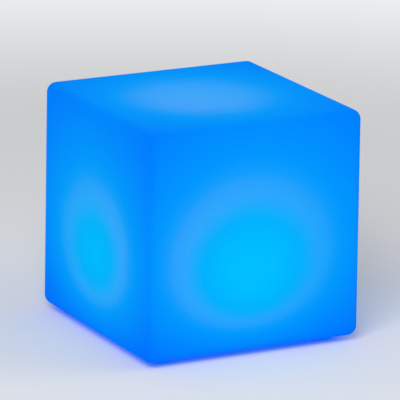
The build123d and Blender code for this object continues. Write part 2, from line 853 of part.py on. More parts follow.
def switch_terminals():
    """Two flat terminals on the base."""
    return [
        block(
            terminal_width,
            terminal_thickness,
            terminal_height,
            switch_x + side * terminal_pitch / 2,
            control_y,
            terminal_z,
        )
        for side in (-1, 1)
    ]


def switch_seal():
    """Seal between the switch's bezel and the panel."""
    bore = barrel_radius + press_gap
    return ring(bezel_radius - seal_margin, bore, seal_thickness, bezel_z, switch_x, control_y)


def switch_nut():
    """Nut that clamps the switch in the panel."""
    return hex_nut(nut_flats, barrel_radius + thread_gap, nut_thickness, switch_x, control_y)


# ---- Charging socket, beside the switch ----
def charge_socket():
    """Barrel of the charging socket, with its bezel below the panel."""
    bezel = disc(socket_bezel_radius, socket_bezel_thickness, socket_mouth_z)
    bezel = chamfer(edges_at(bezel, socket_mouth_z), socket_bezel_thickness / 3)
    barrel = bezel + disc(socket_barrel_radius, socket_end_z - bezel_z, bezel_z)
    barrel = barrel - disc(socket_bore_radius, socket_bore_depth, socket_mouth_z)
    barrel = barrel - disc(socket_seat_radius, socket_end_z - socket_seat_z, socket_seat_z)
    return Pos(socket_x, control_y, 0) * barrel


def socket_base():
    """Insulating plug that closes the socket and holds its two contacts."""
    spigot = disc(socket_seat_radius - press_gap, socket_end_z - socket_seat_z, socket_seat_z)
    base = spigot + disc(socket_barrel_radius, socket_base_thickness, socket_end_z)
    height = socket_base_z - socket_seat_z
    base = base - disc(socket_pin_radius + press_gap, height, socket_seat_z)
    slot_x = contact_offset + contact_thickness / 2
    slot = block(
        contact_thickness + 2 * press_gap, contact_width + 2 * press_gap, height, slot_x, 0, socket_seat_z
    )
    return Pos(socket_x, control_y, 0) * (base - slot)


def socket_pin():
    """Centre pin with a rounded tip and a collar against the base."""
    tip_z = socket_mouth_z + socket_pin_recess
    pin = disc(socket_pin_radius, socket_base_z + socket_tail - tip_z, tip_z)
    pin = chamfer(edges_at(pin, tip_z), socket_pin_radius / 2)
    collar_z = socket_seat_z - socket_collar_thickness
    pin = pin + disc(socket_collar_radius, socket_collar_thickness, collar_z)
    return Pos(socket_x, control_y, 0) * pin


def socket_contact():
    """Side contact, a strip through the base with a wider tail that rests on it."""
    x = contact_offset + contact_thickness / 2
    strip_z = socket_seat_z - contact_reach
    strip = block(contact_thickness, contact_width, socket_base_z - strip_z, x, 0, strip_z)
    tail = block(contact_thickness, contact_shoulder, socket_tail, x, 0, socket_base_z)
    return Pos(socket_x, control_y, 0) * (strip + tail)


def socket_seal():
    """Seal between the socket's bezel and the panel."""
    radius = socket_bezel_radius - seal_margin
    bore = socket_barrel_radius + press_gap
    return ring(radius, bore, seal_thickness, bezel_z, socket_x, control_y)


def socket_nut():
    """Nut that clamps the socket in the panel."""
    bore = socket_barrel_radius + thread_gap
    return hex_nut(socket_nut_flats, bore, nut_thickness, socket_x, control_y)


# ---- Rubber flap over the socket ----
def port_flap():
    """Rubber lid over the socket: a shallow cap with a short stem, a pull tab and a strap."""
    height = panel_z - flap_lid_z + flap_lid
    low_z = flap_lid_z - flap_lid
    cap = disc(flap_radius, height, low_z)
    strap_reach = flap_hinge_offset - flap_radius / 2
    strap = block(
        flap_strap_width,
        strap_reach,
        flap_strap_thickness,
        0,
        flap_hinge_offset - strap_reach / 2,
        panel_z - flap_strap_thickness,
    )
    tab = round_plate(
        flap_tab_width,
        flap_tab_length + flap_radius,
        flap_tab_thickness,
        flap_tab_width / 3,
        0,
        -(flap_tab_length + flap_radius) / 2,
        low_z,
    )
    flap = cap + tab
    flap = chamfer(edges_at(flap, low_z), flap_bevel)
    knuckle = Pos(0, flap_hinge_offset, flap_axis_z) * Rot(0, 90, 0) * Cylinder(
        flap_strap_thickness / 2, flap_strap_width
    )
    flap = flap + strap + knuckle
    flap = flap - disc(flap_radius - flap_wall, panel_z - flap_lid_z, flap_lid_z)
    stem = disc(socket_bore_radius - flap_stem_gap, flap_stem_length, flap_lid_z)
    stem = chamfer(edges_at(stem, flap_lid_z + flap_stem_length), flap_stem_gap)
    return Pos(socket_x, control_y, 0) * (flap + stem)


def flap_anchor():
    """Fixed end of the flap's strap, held by a headed stud through the panel."""
    plate_low_z = panel_z - flap_strap_thickness
    plate = block(
        anchor_width, anchor_length, flap_strap_thickness, socket_x, anchor_y, plate_low_z
    )
    front_edge = plate.edges().filter_by(Axis.X).group_by(Axis.Z)[0].sort_by(Axis.Y)[0]
    plate = chamfer(front_edge, anchor_bevel)
    stud = disc(anchor_stud_radius, flange_thickness, panel_z, socket_x, anchor_y)
    head = Pos(socket_x, anchor_y, floor_z) * Cone(
        anchor_head_radius,
        anchor_stud_radius,
        anchor_head_height,
        align=(Align.CENTER, Align.CENTER, Align.MIN),
    )
    return plate + stud + head


PARTS = {
    "cube_shell": cube_shell,
    "threaded_inserts": threaded_inserts,
    "module_gasket": module_gasket,
    "module_housing": module_housing,
    "module_screws": module_screws,
    "heat_plate": heat_plate,
    "lamp_board": lamp_board,
    "led_chips": led_chips,
    "ir_receiver": ir_receiver,
    "light_dome": light_dome,
    "dome_gasket": dome_gasket,
    "dome_screws": dome_screws,
    "plate_screws": plate_screws,
    "battery_cells": battery_cells,
    "battery_wraps": battery_wraps,
    "battery_tabs": battery_tabs,
    "battery_strap": battery_strap,
    "strap_screws": strap_screws,
    "control_board": control_board,
    "board_screws": board_screws,
    "board_headers": board_headers,
    "board_chips": board_chips,
    "battery_terminals": battery_terminals,
    "lamp_board_header": lamp_board_header,
    "battery_leads": battery_leads,
    "lamp_leads": lamp_leads,
    "switch_leads": switch_leads,
    "socket_leads": socket_leads,
    "switch_barrel": switch_barrel,
    "power_button": power_button,
    "return_boot": return_boot,
    "switch_base": switch_base,
    "switch_terminals": switch_terminals,
    "switch_seal": switch_seal,
    "switch_nut": switch_nut,
    "charge_socket": charge_socket,
    "socket_base": socket_base,
    "socket_pin": socket_pin,
    "socket_contact": socket_contact,
    "socket_seal": socket_seal,
    "socket_nut": socket_nut,
    "port_flap": port_flap,
    "flap_anchor": flap_anchor,
}


def main():
    """Build every piece and write it as its own file."""
    os.makedirs("parts", exist_ok=True)
    for node, make in PARTS.items():
        made = make()
        solids = made if isinstance(made, list) else [made]
        shape = Compound(children=[solid for piece in solids for solid in piece.solids()])
        export_step(shape, f"parts/{node}.step")
        print(node, len(shape.solids()), round(shape.volume))


main()
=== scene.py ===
"""Glowing garden cube: its finishes and its finer pieces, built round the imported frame.

A hollow moulded cube stands on four moulded feet and glows from a battery lamp module that is
screwed up into a recess in its base. All lengths are metres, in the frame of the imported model.
"""

import json
import logging
import math
from collections.abc import Callable, Iterable, Iterator, Sequence
from contextlib import contextmanager
from dataclasses import dataclass
from enum import Enum
from functools import cache
from typing import Any, ClassVar

import bpy
from mathutils import Matrix, Vector


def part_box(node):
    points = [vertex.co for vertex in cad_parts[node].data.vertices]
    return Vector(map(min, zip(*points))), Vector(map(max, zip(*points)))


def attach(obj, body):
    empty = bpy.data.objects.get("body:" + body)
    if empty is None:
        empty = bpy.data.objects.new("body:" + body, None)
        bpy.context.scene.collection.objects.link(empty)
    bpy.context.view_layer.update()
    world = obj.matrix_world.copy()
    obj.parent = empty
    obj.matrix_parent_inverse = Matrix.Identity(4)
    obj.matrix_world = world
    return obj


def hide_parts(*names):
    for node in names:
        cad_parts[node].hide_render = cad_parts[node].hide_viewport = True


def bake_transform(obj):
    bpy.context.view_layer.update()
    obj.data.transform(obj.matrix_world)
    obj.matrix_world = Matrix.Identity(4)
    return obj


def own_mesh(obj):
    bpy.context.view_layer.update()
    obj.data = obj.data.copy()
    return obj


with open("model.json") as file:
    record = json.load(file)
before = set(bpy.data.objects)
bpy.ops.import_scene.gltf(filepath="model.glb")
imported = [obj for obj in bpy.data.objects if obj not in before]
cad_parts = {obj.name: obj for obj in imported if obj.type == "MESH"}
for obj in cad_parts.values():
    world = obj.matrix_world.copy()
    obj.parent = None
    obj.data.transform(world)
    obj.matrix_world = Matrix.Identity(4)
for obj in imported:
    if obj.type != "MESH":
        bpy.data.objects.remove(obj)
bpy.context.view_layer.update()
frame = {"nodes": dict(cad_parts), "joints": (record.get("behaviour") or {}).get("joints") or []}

log = logging.getLogger("cube_light")

Piece = bpy.types.Object
Tree = bpy.types.NodeTree
Node = bpy.types.Node
Socket = bpy.types.NodeSocket

MM = 0.001
NEAR = 0.001 * MM                       # points closer than this are one
SMOOTH_ANGLE = math.radians(35)         # faces that meet flatter than this are shaded as one
NODES: dict[str, Piece] = frame["nodes"]

# Kinds of node that several finishes use, what a maths or a vector node does, and how a node
# blends or clamps.
MATHS = "ShaderNodeMath"
VECTORS = "ShaderNodeVectorMath"
NOISE = "ShaderNodeTexNoise"
BUMP = "ShaderNodeBump"
RAMP = "ShaderNodeValToRGB"
RANGE = "ShaderNodeMapRange"
MIX = "ShaderNodeMix"
AXES = "ShaderNodeSeparateXYZ"
ADD = {"operation": "ADD"}
SUBTRACT = {"operation": "SUBTRACT"}
MULTIPLY = {"operation": "MULTIPLY"}
MULTIPLY_ADD = {"operation": "MULTIPLY_ADD"}
DIVIDE = {"operation": "DIVIDE"}
POWER = {"operation": "POWER"}
SINE = {"operation": "SINE"}
FRACTION = {"operation": "FRACT"}
ABSOLUTE = {"operation": "ABSOLUTE"}
MINIMUM = {"operation": "MINIMUM"}
MAXIMUM = {"operation": "MAXIMUM"}
LESS_THAN = {"operation": "LESS_THAN"}
GREATER_THAN = {"operation": "GREATER_THAN"}
LENGTH = {"operation": "LENGTH"}
SCALE = {"operation": "SCALE"}
DOT = {"operation": "DOT_PRODUCT"}
PROJECT = {"operation": "PROJECT"}
CLAMPED = {"use_clamp": True}
SMOOTH = {"interpolation_type": "SMOOTHSTEP"}
COLOURS = {"data_type": "RGBA"}
FIRST, SECOND, MIXED = 6, 7, 2          # sockets of a node that mixes colours


class Body(Enum):
    """The bodies that modelled pieces ride on."""

    CUBE = "cube"
    FLAP = "flap"


class Marks(Enum):
    """What its making leaves on a metal, as the stretch of the marks along X, Y and Z."""

    TURNED = (0.02, 0.02, 1.0)      # fine rings round an upright axis
    ROLLED = (0.02, 1.0, 1.0)       # long streaks along X
    TUMBLED = (1.0, 1.0, 1.0)       # even, without a direction


# ---- Small helpers ----
def linear(code: str) -> tuple[float, float, float, float]:
    """Turn an sRGB hex colour into linear red, green, blue and a full alpha.

    Args:
        code: Six hex digits, without a sign in front.

    Returns:
        The colour as the shader's sockets take it.
    """
    parts = [int(code[i:i + 2], 16) / 255.0 for i in (0, 2, 4)]
    made = [c / 12.92 if c <= 0.04045 else ((c + 0.055) / 1.055) ** 2.4 for c in parts]
    return made[0], made[1], made[2], 1.0


def feed(tree: Tree, node: Node, inputs: dict[Any, Any]) -> None:
    """Set or link inputs of a node.

    Args:
        tree: The node tree that it is in.
        node: The node.
        inputs: Values or output sockets by the name or index of the input.
    """
    for key, value in inputs.items():
        if isinstance(value, Socket):
            tree.links.new(value, node.inputs[key])
        else:
            node.inputs[key].default_value = value


def add_node(
    tree: Tree,
    kind: str,
    settings: dict[str, Any] | None = None,
    inputs: dict[Any, Any] | None = None,
) -> Node:
    """Add a node, set its properties, and set or link its inputs.

    Args:
        tree: The node tree that it goes into.
        kind: The node's type name.
        settings: Properties of the node by name.
        inputs: Values or output sockets by the name or index of the input.

    Returns:
        The new node.
    """
    node = tree.nodes.new(kind)
    for name, value in (settings or {}).items():
        setattr(node, name, value)
    feed(tree, node, inputs or {})
    return node


def empty_tree(owner: bpy.types.Material | bpy.types.World) -> Tree:
    """Switch on the nodes of a material or a world and clear them.

    Args:
        owner: The new material or world.

    Returns:
        Its empty node tree.
    """
    owner.use_nodes = True
    owner.node_tree.nodes.clear()
    return owner.node_tree


def set_ramp(node: Node, stops: Iterable[tuple[float, Any]]) -> None:
    """Fill a colour ramp.

    Args:
        node: The ramp node.
        stops: Place and linear colour of each stop, in rising order.
    """
    ramp = node.color_ramp
    stops = list(stops)
    while len(ramp.elements) < len(stops):
        ramp.elements.new(1.0)
    for element, (place, colour) in zip(ramp.elements, stops):
        element.position = place
        element.color = colour


def dress(obj: Piece, material: bpy.types.Material) -> None:
    """Give an object one material all over.

    Args:
        obj: A node of the frame, or a modelled piece.
        material: Its finish.
    """
    obj.data.materials.clear()
    obj.data.materials.append(material)


def deselect() -> None:
    """Deselect everything, because an operator acts on all that is selected."""
    bpy.ops.object.select_all(action="DESELECT")


def pick(piece: Piece) -> None:
    """Make a piece the only one selected, and the active one.

    Args:
        piece: The piece that the next operators act on.
    """
    deselect()
    piece.select_set(True)
    bpy.context.view_layer.objects.active = piece


def put_in_scene(obj: bpy.types.Object) -> None:
    """Put a new object in the scene."""
    bpy.context.scene.collection.objects.link(obj)


def put_place_in_mesh() -> None:
    """Put the place, turn and size of the selected pieces in their meshes."""
    bpy.ops.object.transform_apply(location=True, rotation=True, scale=True)


@contextmanager
def editing() -> Iterator[None]:
    """Shape the active piece in edit mode, with all of it selected at first."""
    bpy.ops.object.mode_set(mode="EDIT")
    bpy.ops.mesh.select_all(action="SELECT")
    yield
    bpy.ops.object.mode_set(mode="OBJECT")


def face_outwards() -> None:
    """Turn every face of the piece that is being edited outwards."""
    bpy.ops.mesh.select_all(action="SELECT")
    bpy.ops.mesh.normals_make_consistent(inside=False)


def select_points(piece: Piece, wanted: Callable[[Vector], bool]) -> None:
    """Select the points of a piece by their place, from edit mode and back to it.

    Args:
        piece: The piece that is being edited.
        wanted: Says whether a point at this place is selected.
    """
    bpy.ops.mesh.select_mode(type="VERT")
    bpy.ops.mesh.select_all(action="DESELECT")
    bpy.ops.object.mode_set(mode="OBJECT")
    for point in piece.data.vertices:
        point.select = wanted(piece.matrix_world @ point.co)
    bpy.ops.object.mode_set(mode="EDIT")


def draw_skin(name: str, centre: Vector, rings: Sequence[tuple[float, float]], sides: int) -> Piece:
    """Draw an open round skin, ring by ring, by extruding its upper edge and scaling it.

    Args:
        name: Name of the piece.
        centre: Point on its axis that the heights are counted from.
        rings: Radius and height of each ring.
        sides: Points of a ring.

    Returns:
        The skin, still without a wall.
    """
    deselect()
    first, level = rings[0]
    bpy.ops.mesh.primitive_circle_add(
        vertices=sides, radius=first, location=centre + Vector((0, 0, level))
    )
    piece = bpy.context.object
    piece.name = name
    with editing():
        for (before, low), (after, high) in zip(rings, rings[1:]):
            bpy.ops.mesh.extrude_edges_move(TRANSFORM_OT_translate={"value": (0, 0, high - low)})
            bpy.ops.transform.resize(
                value=(after / before, after / before, 1),
                center_override=centre + Vector((0, 0, high)),
            )
        face_outwards()
    return piece


def add_modifier(piece: Piece, kind: str, **settings: Any) -> None:
    """Add a modifier and apply it.

    Args:
        piece: The piece, which becomes the active object.
        kind: Type of the modifier.
        settings: Its properties.
    """
    pick(piece)
    modifier = piece.modifiers.new(kind.lower(), kind)
    for name, value in settings.items():
        setattr(modifier, name, value)
    bpy.ops.object.modifier_apply(modifier=modifier.name)


def settle(piece: Piece) -> None:
    """Put a piece's origin at the frame's, with its place in its mesh, and smooth it.

    Args:
        piece: The modelled piece.
    """
    pick(piece)
    put_place_in_mesh()
    bpy.ops.object.shade_smooth_by_angle(angle=SMOOTH_ANGLE)


def join(pieces: Sequence[Piece]) -> Piece:
    """Make one piece of several copies.

    Args:
        pieces: The copies; the first gives its name.

    Returns:
        The joined piece.
    """
    deselect()
    for piece in pieces:
        piece.select_set(True)
    bpy.context.view_layer.objects.active = pieces[0]
    bpy.ops.object.join()
    return pieces[0]


def repeat(first: Piece, places: Iterable[Matrix]) -> Piece:
    """Set a copy of a piece, with its own mesh, in each place and join the copies.

    Args:
        first: The modelled piece, round the origin. It goes once it is copied.
        places: Where each copy stands and how it is turned.

    Returns:
        The joined piece, under the name of the first.
    """
    name = first.name
    copies = []
    for place in places:
        copy = first.copy()
        copy.data = first.data.copy()
        copy.matrix_world = place
        put_in_scene(copy)
        copies.append(copy)
    bpy.data.objects.remove(first)
    joined = join(copies)
    joined.name = name
    return joined


def middle_x(box: tuple[Vector, Vector]) -> float:
    """Give the middle of a box along X, from its lowest and highest corner."""
    low, high = box
    return (low.x + high.x) / 2


# ---- Finishes ----
@dataclass(frozen=True)
class Finish:
    """What every finish has: a name and a shader that its own method wires up."""

    name: str

    def build(self) -> bpy.types.Material:
        """Make the material.

        Returns:
            The material, with one plain shader on its surface.
        """
        material = bpy.data.materials.new(self.name)
        tree = empty_tree(material)
        shader = add_node(tree, "ShaderNodeBsdfPrincipled")
        add_node(tree, "ShaderNodeOutputMaterial", inputs={"Surface": shader.outputs["BSDF"]})
        place = add_node(tree, "ShaderNodeTexCoord")
        self.wire(tree, shader, place)
        return material

    def wire(self, tree: Tree, shader: Node, place: Node) -> None:
        """Wire the shader; each kind of finish has its own way.

        Args:
            tree: The material's node tree.
            shader: Its shader.
            place: Its texture coordinates.
        """
        raise NotImplementedError


@dataclass(frozen=True)
class GlowingPolyethylene(Finish):
    """Rotationally moulded polyethylene, lit blue from inside.

    To the eye the wall is one soft light: deep blue along the rounded edges, a paler ring, and a
    cyan heart where the lamps in the base shine straight through each side. The lamps' distance,
    their upward throw and the slant of the wall give the brightness of every point.
    """

    low: Vector                         # corners of the cube above its feet
    high: Vector
    lamp_lean: tuple[float, float] = (-6.0 * MM, -2.6 * MM)     # the light's middle, off the axis
    lamp_height: float = 0.1246         # of the body, in cube widths
    throw: float = 0.7072               # 0 shines evenly all round, 1 shines upwards only
    fall: float = 2.3981                # power of the distance
    scattered: float = 0.1048           # green light that reaches every point of the wall
    direct: float = 0.3342              # green light straight from the lamps
    narrow_share: float = 0.9176        # glow of the faces towards X, against those towards Y
    top_share: float = 0.7517
    base_share: float = 1.2             # the base and the feet, lit by the floor as well
    edge_loss: float = 0.14             # light lost in the rounded edges
    ring_lean: tuple[float, float, float] = (-3.0, -3.4, 2.6)   # gain of the ring's red per metre
    ring_level: float = 140 * MM        # height at which the ring is as pale as its ramp says
    mottle: float = 0.03                # the wall is never quite even
    mottle_size: float = 45 * MM
    mottle_detail: float = 3.0          # finer layers of the noise
    grain_size: float = 1.2 * MM        # sand-cast mould; the real grain is half as coarse
    grain_detail: float = 2.0
    grain_depth: float = 0.05 * MM
    grain_strength: float = 0.5
    glow_in_base_share: float = 0.22            # share of the glow's colour, with its ring and heart of light, painted into the base colour
    strength: float = 0.78              # of the light from inside
    roughness: float = 0.75
    sheen_level: float = 0.005          # the bright wall drowns nearly all of its own shine
    # Colours from dim to bright. On the sides a pale ring gives way to pure cyan at the heart, a
    # little later on the narrow faces; the top stays pale.
    wide_codes: tuple[str, ...] = (
        "005AFF", "0197FD", "109DFC", "25A1FC", "29A7FC", "19ACFC", "02B1FC", "00B6FE", "00C8FF"
    )
    narrow_codes: tuple[str, ...] = (
        "005AFF", "019AFD", "10A0FC", "27A4FC", "2CAAFC", "1DAFFC", "04B4FC", "00B8FE", "00C8FF"
    )
    top_codes: tuple[str, ...] = (
        "005AFF", "0098FD", "0F9CFC", "2AA0FC", "39A3FC", "41A8FC", "4AB0FD", "50C8FF"
    )

    def signed_square(self, tree: Tree, place: Node) -> Socket:
        """Square each part of the wall's normal and keep its sign.

        Args:
            tree: The material's node tree.
            place: Its texture coordinates.

        Returns:
            The squared normal, whose parts are the shares of the faces towards X, Y and Z.
        """
        normal = place.outputs["Normal"]
        size = add_node(tree, VECTORS, ABSOLUTE, {0: normal}).outputs[0]
        return add_node(tree, VECTORS, MULTIPLY, {0: normal, 1: size}).outputs[0]

    def lamplight(self, tree: Tree, place: Node, signed: Socket) -> Socket:
        """Work out how much light reaches each point of the wall from inside.

        Args:
            tree: The material's node tree.
            place: Its texture coordinates.
            signed: The squared normal with its signs.

        Returns:
            The light, as linear green.
        """
        width = self.high.x - self.low.x
        lamp = (*self.lamp_lean, self.low.z + self.lamp_height * width)
        way = add_node(tree, VECTORS, SUBTRACT, {0: place.outputs["Object"], 1: lamp})
        way = add_node(tree, VECTORS, SCALE, {0: way.outputs[0], "Scale": 1 / width}).outputs[0]
        distance = add_node(tree, VECTORS, LENGTH, {0: way}).outputs["Value"]
        rise = add_node(tree, AXES, inputs={0: way}).outputs["Z"]
        upward = add_node(tree, MATHS, DIVIDE, {0: rise, 1: distance}).outputs[0]
        power = add_node(
            tree, MATHS, MULTIPLY_ADD | CLAMPED, {0: upward, 1: self.throw, 2: 1 - self.throw}
        ).outputs[0]

        # Light that comes straight from the lamps is weakened by its slant to the wall.
        slant = add_node(tree, VECTORS, DOT, {0: signed, 1: way})
        slant = add_node(tree, MATHS, MAXIMUM, {0: slant.outputs["Value"], 1: 0.0})
        far = add_node(tree, MATHS, POWER, {0: distance, 1: self.fall}).outputs[0]
        straight = add_node(tree, MATHS, MULTIPLY, {0: power, 1: slant.outputs[0]})
        straight = add_node(tree, MATHS, DIVIDE, {0: straight.outputs[0], 1: far})
        return add_node(
            tree, MATHS, MULTIPLY_ADD, {0: straight.outputs[0], 1: self.direct, 2: self.scattered}
        ).outputs[0]

    def glow(self, tree: Tree, place: Node) -> Socket:
        """Work out how bright each point of the wall looks.

        Args:
            tree: The material's node tree.
            place: Its texture coordinates.

        Returns:
            The glow, as linear green.
        """
        normal = place.outputs["Normal"]
        signed = self.signed_square(tree, place)
        light = self.lamplight(tree, place, signed)

        # What each face lets out, and what the rounded edges keep.
        squared = add_node(tree, VECTORS, MULTIPLY, {0: normal, 1: normal}).outputs[0]
        shares = (self.narrow_share, 1.0, self.top_share)
        face = add_node(tree, VECTORS, DOT, {0: squared, 1: shares})
        flat = add_node(tree, VECTORS, DOT, {0: squared, 1: squared})
        edge = add_node(
            tree,
            MATHS,
            MULTIPLY_ADD,
            {0: flat.outputs["Value"], 1: self.edge_loss, 2: 1 - self.edge_loss},
        ).outputs[0]
        upright = add_node(tree, AXES, inputs={0: signed}).outputs["Z"]
        down = add_node(tree, MATHS, MINIMUM, {0: upright, 1: 0.0}).outputs[0]
        face = add_node(
            tree,
            MATHS,
            MULTIPLY_ADD,
            {0: down, 1: self.top_share - self.base_share, 2: face.outputs["Value"]},
        ).outputs[0]
        cloud = add_node(
            tree,
            NOISE,
            inputs={
                "Vector": place.outputs["Object"],
                "Scale": 1 / self.mottle_size,
                "Detail": self.mottle_detail,
            },
        )
        uneven = add_node(
            tree,
            MATHS,
            MULTIPLY_ADD,
            {0: cloud.outputs["Fac"], 1: self.mottle, 2: 1 - self.mottle / 2},
        ).outputs[0]
        for share in (face, edge, uneven):
            light = add_node(tree, MATHS, MULTIPLY, {0: light, 1: share}).outputs[0]
        return light

    def leant(self, tree: Tree, place: Node, colour: Socket) -> Socket:
        """Make the ring of each face paler to the front, the left and the top than opposite.

        Args:
            tree: The material's node tree.
            place: Its texture coordinates.
            colour: The glow's colour, before the lean.

        Returns:
            The colour, with its red raised on one side and lowered on the other.
        """
        middle = (0.0, 0.0, self.ring_level)
        reach = add_node(
            tree, VECTORS, SUBTRACT, {0: place.outputs["Object"], 1: middle}
        ).outputs[0]
        out = add_node(tree, VECTORS, PROJECT, {0: reach, 1: place.outputs["Normal"]}).outputs[0]
        along = add_node(tree, VECTORS, SUBTRACT, {0: reach, 1: out}).outputs[0]
        gain = add_node(tree, VECTORS, DOT, {0: along, 1: self.ring_lean}).outputs["Value"]
        red = add_node(tree, MATHS, ADD, {0: gain, 1: 1.0}).outputs[0]
        shares = add_node(tree, "ShaderNodeCombineXYZ", inputs={"X": red, "Y": 1.0, "Z": 1.0})
        return add_node(tree, VECTORS, MULTIPLY, {0: colour, 1: shares.outputs[0]}).outputs[0]

    def wire(self, tree: Tree, shader: Node, place: Node) -> None:
        """Colour the glow on the sides and the top, and grain the surface.

        Args:
            tree: The material's node tree.
            shader: Its shader.
            place: Its texture coordinates.
        """
        light = self.glow(tree, place)
        colours = []
        for codes in (self.wide_codes, self.narrow_codes, self.top_codes):
            ramp = add_node(tree, RAMP, inputs={"Fac": light})
            set_ramp(ramp, [(linear(code)[1], linear(code)) for code in codes])
            colours.append(ramp.outputs["Color"])
        normal = place.outputs["Normal"]
        squared = add_node(tree, VECTORS, MULTIPLY, {0: normal, 1: normal})
        sideways = add_node(tree, AXES, inputs={0: squared.outputs[0]}).outputs["X"]
        upright = add_node(tree, AXES, inputs={0: normal}).outputs["Z"]
        colour, narrow, top = colours
        for share, other in ((sideways, narrow), (upright, top)):
            mix = add_node(tree, MIX, COLOURS, {"Factor": share, FIRST: colour, SECOND: other})
            colour = mix.outputs[MIXED]
        colour = self.leant(tree, place, colour)
        # Painted light: the base colour is the glow's colour scaled down, so the glow's ring and heart
        # show in it even without the glow.
        painted_glow_base = add_node(tree, VECTORS, SCALE, {0: colour, "Scale": self.glow_in_base_share})
        grain = add_node(
            tree,
            NOISE,
            inputs={
                "Vector": place.outputs["Object"],
                "Scale": 1 / self.grain_size,
                "Detail": self.grain_detail,
            },
        )
        bump = add_node(
            tree,
            BUMP,
            inputs={
                "Strength": self.grain_strength,
                "Distance": self.grain_depth,
                "Height": grain.outputs["Fac"],
            },
        )
        feed(tree, shader, {
            "Base Color": painted_glow_base.outputs[0],
            "Emission Color": colour,
            "Emission Strength": self.strength,
            "Roughness": self.roughness,
            "Specular IOR Level": self.sheen_level,
            "Normal": bump.outputs["Normal"],
        })


@dataclass(frozen=True)
class MouldedPlastic(Finish):
    """Plastic from a steel mould with a fine spark-eroded grain.

    To the eye a satin skin: the highlight is soft and broad, and the grain breaks it up.
    """

    colour: str = "191A1C"
    shade: str = "232427"               # where the melt ran last, the skin is a little paler
    roughness: float = 0.46
    cloud_size: float = 16 * MM
    cloud_detail: float = 4.0           # finer layers of the noise
    grain_size: float = 0.7 * MM        # the real grain is a third of this, too fine to show
    grain_detail: float = 2.0
    grain_depth: float = 0.03 * MM
    grain_strength: float = 0.7
    tone_stops: tuple[float, float] = (0.35, 0.7)       # of the cloud, for the two tones
    gloss_drift: tuple[float, float] = (-0.05, 0.07)    # of the roughness over the cloud
    ior: float = 1.53

    def relief(self, tree: Tree, spot: Socket) -> Socket:
        """Grain the skin.

        Args:
            tree: The material's node tree.
            spot: The place on the object.

        Returns:
            The normal of the surface with its relief.
        """
        grain = add_node(
            tree,
            NOISE,
            inputs={"Vector": spot, "Scale": 1 / self.grain_size, "Detail": self.grain_detail},
        )
        return add_node(
            tree,
            BUMP,
            inputs={
                "Strength": self.grain_strength,
                "Distance": self.grain_depth,
                "Height": grain.outputs["Fac"],
            },
        ).outputs["Normal"]

    def wire(self, tree: Tree, shader: Node, place: Node) -> None:
        """Blend the two tones, vary the gloss and lay the relief.

        Args:
            tree: The material's node tree.
            shader: Its shader.
            place: Its texture coordinates.
        """
        spot = place.outputs["Object"]
        cloud = add_node(
            tree,
            NOISE,
            inputs={"Vector": spot, "Scale": 1 / self.cloud_size, "Detail": self.cloud_detail},
        )
        tone = add_node(tree, RAMP, inputs={"Fac": cloud.outputs["Fac"]})
        set_ramp(tone, zip(self.tone_stops, (linear(self.colour), linear(self.shade))))
        gloss = add_node(
            tree,
            RANGE,
            inputs={
                "Value": cloud.outputs["Fac"],
                "To Min": self.roughness + self.gloss_drift[0],
                "To Max": self.roughness + self.gloss_drift[1],
            },
        )
        feed(tree, shader, {
            "Base Color": tone.outputs["Color"],
            "Roughness": gloss.outputs["Result"],
            "IOR": self.ior,
            "Normal": self.relief(tree, spot),
        })


@dataclass(frozen=True)
class SiliconeRubber(MouldedPlastic):
    """Press-moulded silicone rubber.

    To the eye it is flat black, with a dusty bloom at grazing angles and no clear highlight.
    """

    colour: str = "151516"
    shade: str = "1F1F21"
    roughness: float = 0.78
    cloud_size: float = 9 * MM
    grain_depth: float = 0.015 * MM
    ior: float = 1.42
    bloom: float = 0.25
    bloom_roughness: float = 0.5

    def wire(self, tree: Tree, shader: Node, place: Node) -> None:
        """Wire it as plastic, and lay the bloom over it."""
        super().wire(tree, shader, place)
        feed(tree, shader, {"Sheen Weight": self.bloom, "Sheen Roughness": self.bloom_roughness})


@dataclass(frozen=True)
class Metal(Finish):
    """Bare or plated metal with the marks of its making.

    To the eye a clear mirror of the room, blurred along or across fine marks.
    """

    colour: str = "C9CACB"
    shade: str = "B5B6B8"
    roughness: float = 0.3
    marks: Marks = Marks.TUMBLED
    mark_size: float = 0.3 * MM
    mark_detail: float = 3.0            # finer layers of the noise
    mark_depth: float = 0.006 * MM
    mark_strength: float = 0.5
    mark_range: tuple[float, float] = (0.25, 0.75)      # of the noise, over which the gloss varies
    gloss_range: tuple[float, float] = (0.75, 1.3)      # over the roughness
    tone_stops: tuple[float, float] = (0.3, 0.65)       # of the cloud, for the two tones
    cloud_size: float = 7 * MM
    cloud_detail: float = 3.0

    def wire(self, tree: Tree, shader: Node, place: Node) -> None:
        """Tone the metal, and let the marks drive its gloss and relief.

        Args:
            tree: The material's node tree.
            shader: Its shader.
            place: Its texture coordinates.
        """
        spot = place.outputs["Object"]
        drawn = add_node(tree, "ShaderNodeMapping", inputs={"Vector": spot, "Scale": self.marks.value})
        marks = add_node(
            tree,
            NOISE,
            inputs={
                "Vector": drawn.outputs["Vector"],
                "Scale": 1 / self.mark_size,
                "Detail": self.mark_detail,
            },
        )
        cloud = add_node(
            tree,
            NOISE,
            inputs={"Vector": spot, "Scale": 1 / self.cloud_size, "Detail": self.cloud_detail},
        )
        tone = add_node(tree, RAMP, inputs={"Fac": cloud.outputs["Fac"]})
        set_ramp(tone, zip(self.tone_stops, (linear(self.shade), linear(self.colour))))
        gloss = add_node(
            tree,
            RANGE,
            inputs={
                "Value": marks.outputs["Fac"],
                "From Min": self.mark_range[0],
                "From Max": self.mark_range[1],
                "To Min": self.roughness * self.gloss_range[0],
                "To Max": self.roughness * self.gloss_range[1],
            },
        )
        bump = add_node(
            tree,
            BUMP,
            inputs={
                "Strength": self.mark_strength,
                "Distance": self.mark_depth,
                "Height": marks.outputs["Fac"],
            },
        )
        feed(tree, shader, {
            "Base Color": tone.outputs["Color"],
            "Metallic": 1.0,
            "Roughness": gloss.outputs["Result"],
            "Normal": bump.outputs["Normal"],
        })


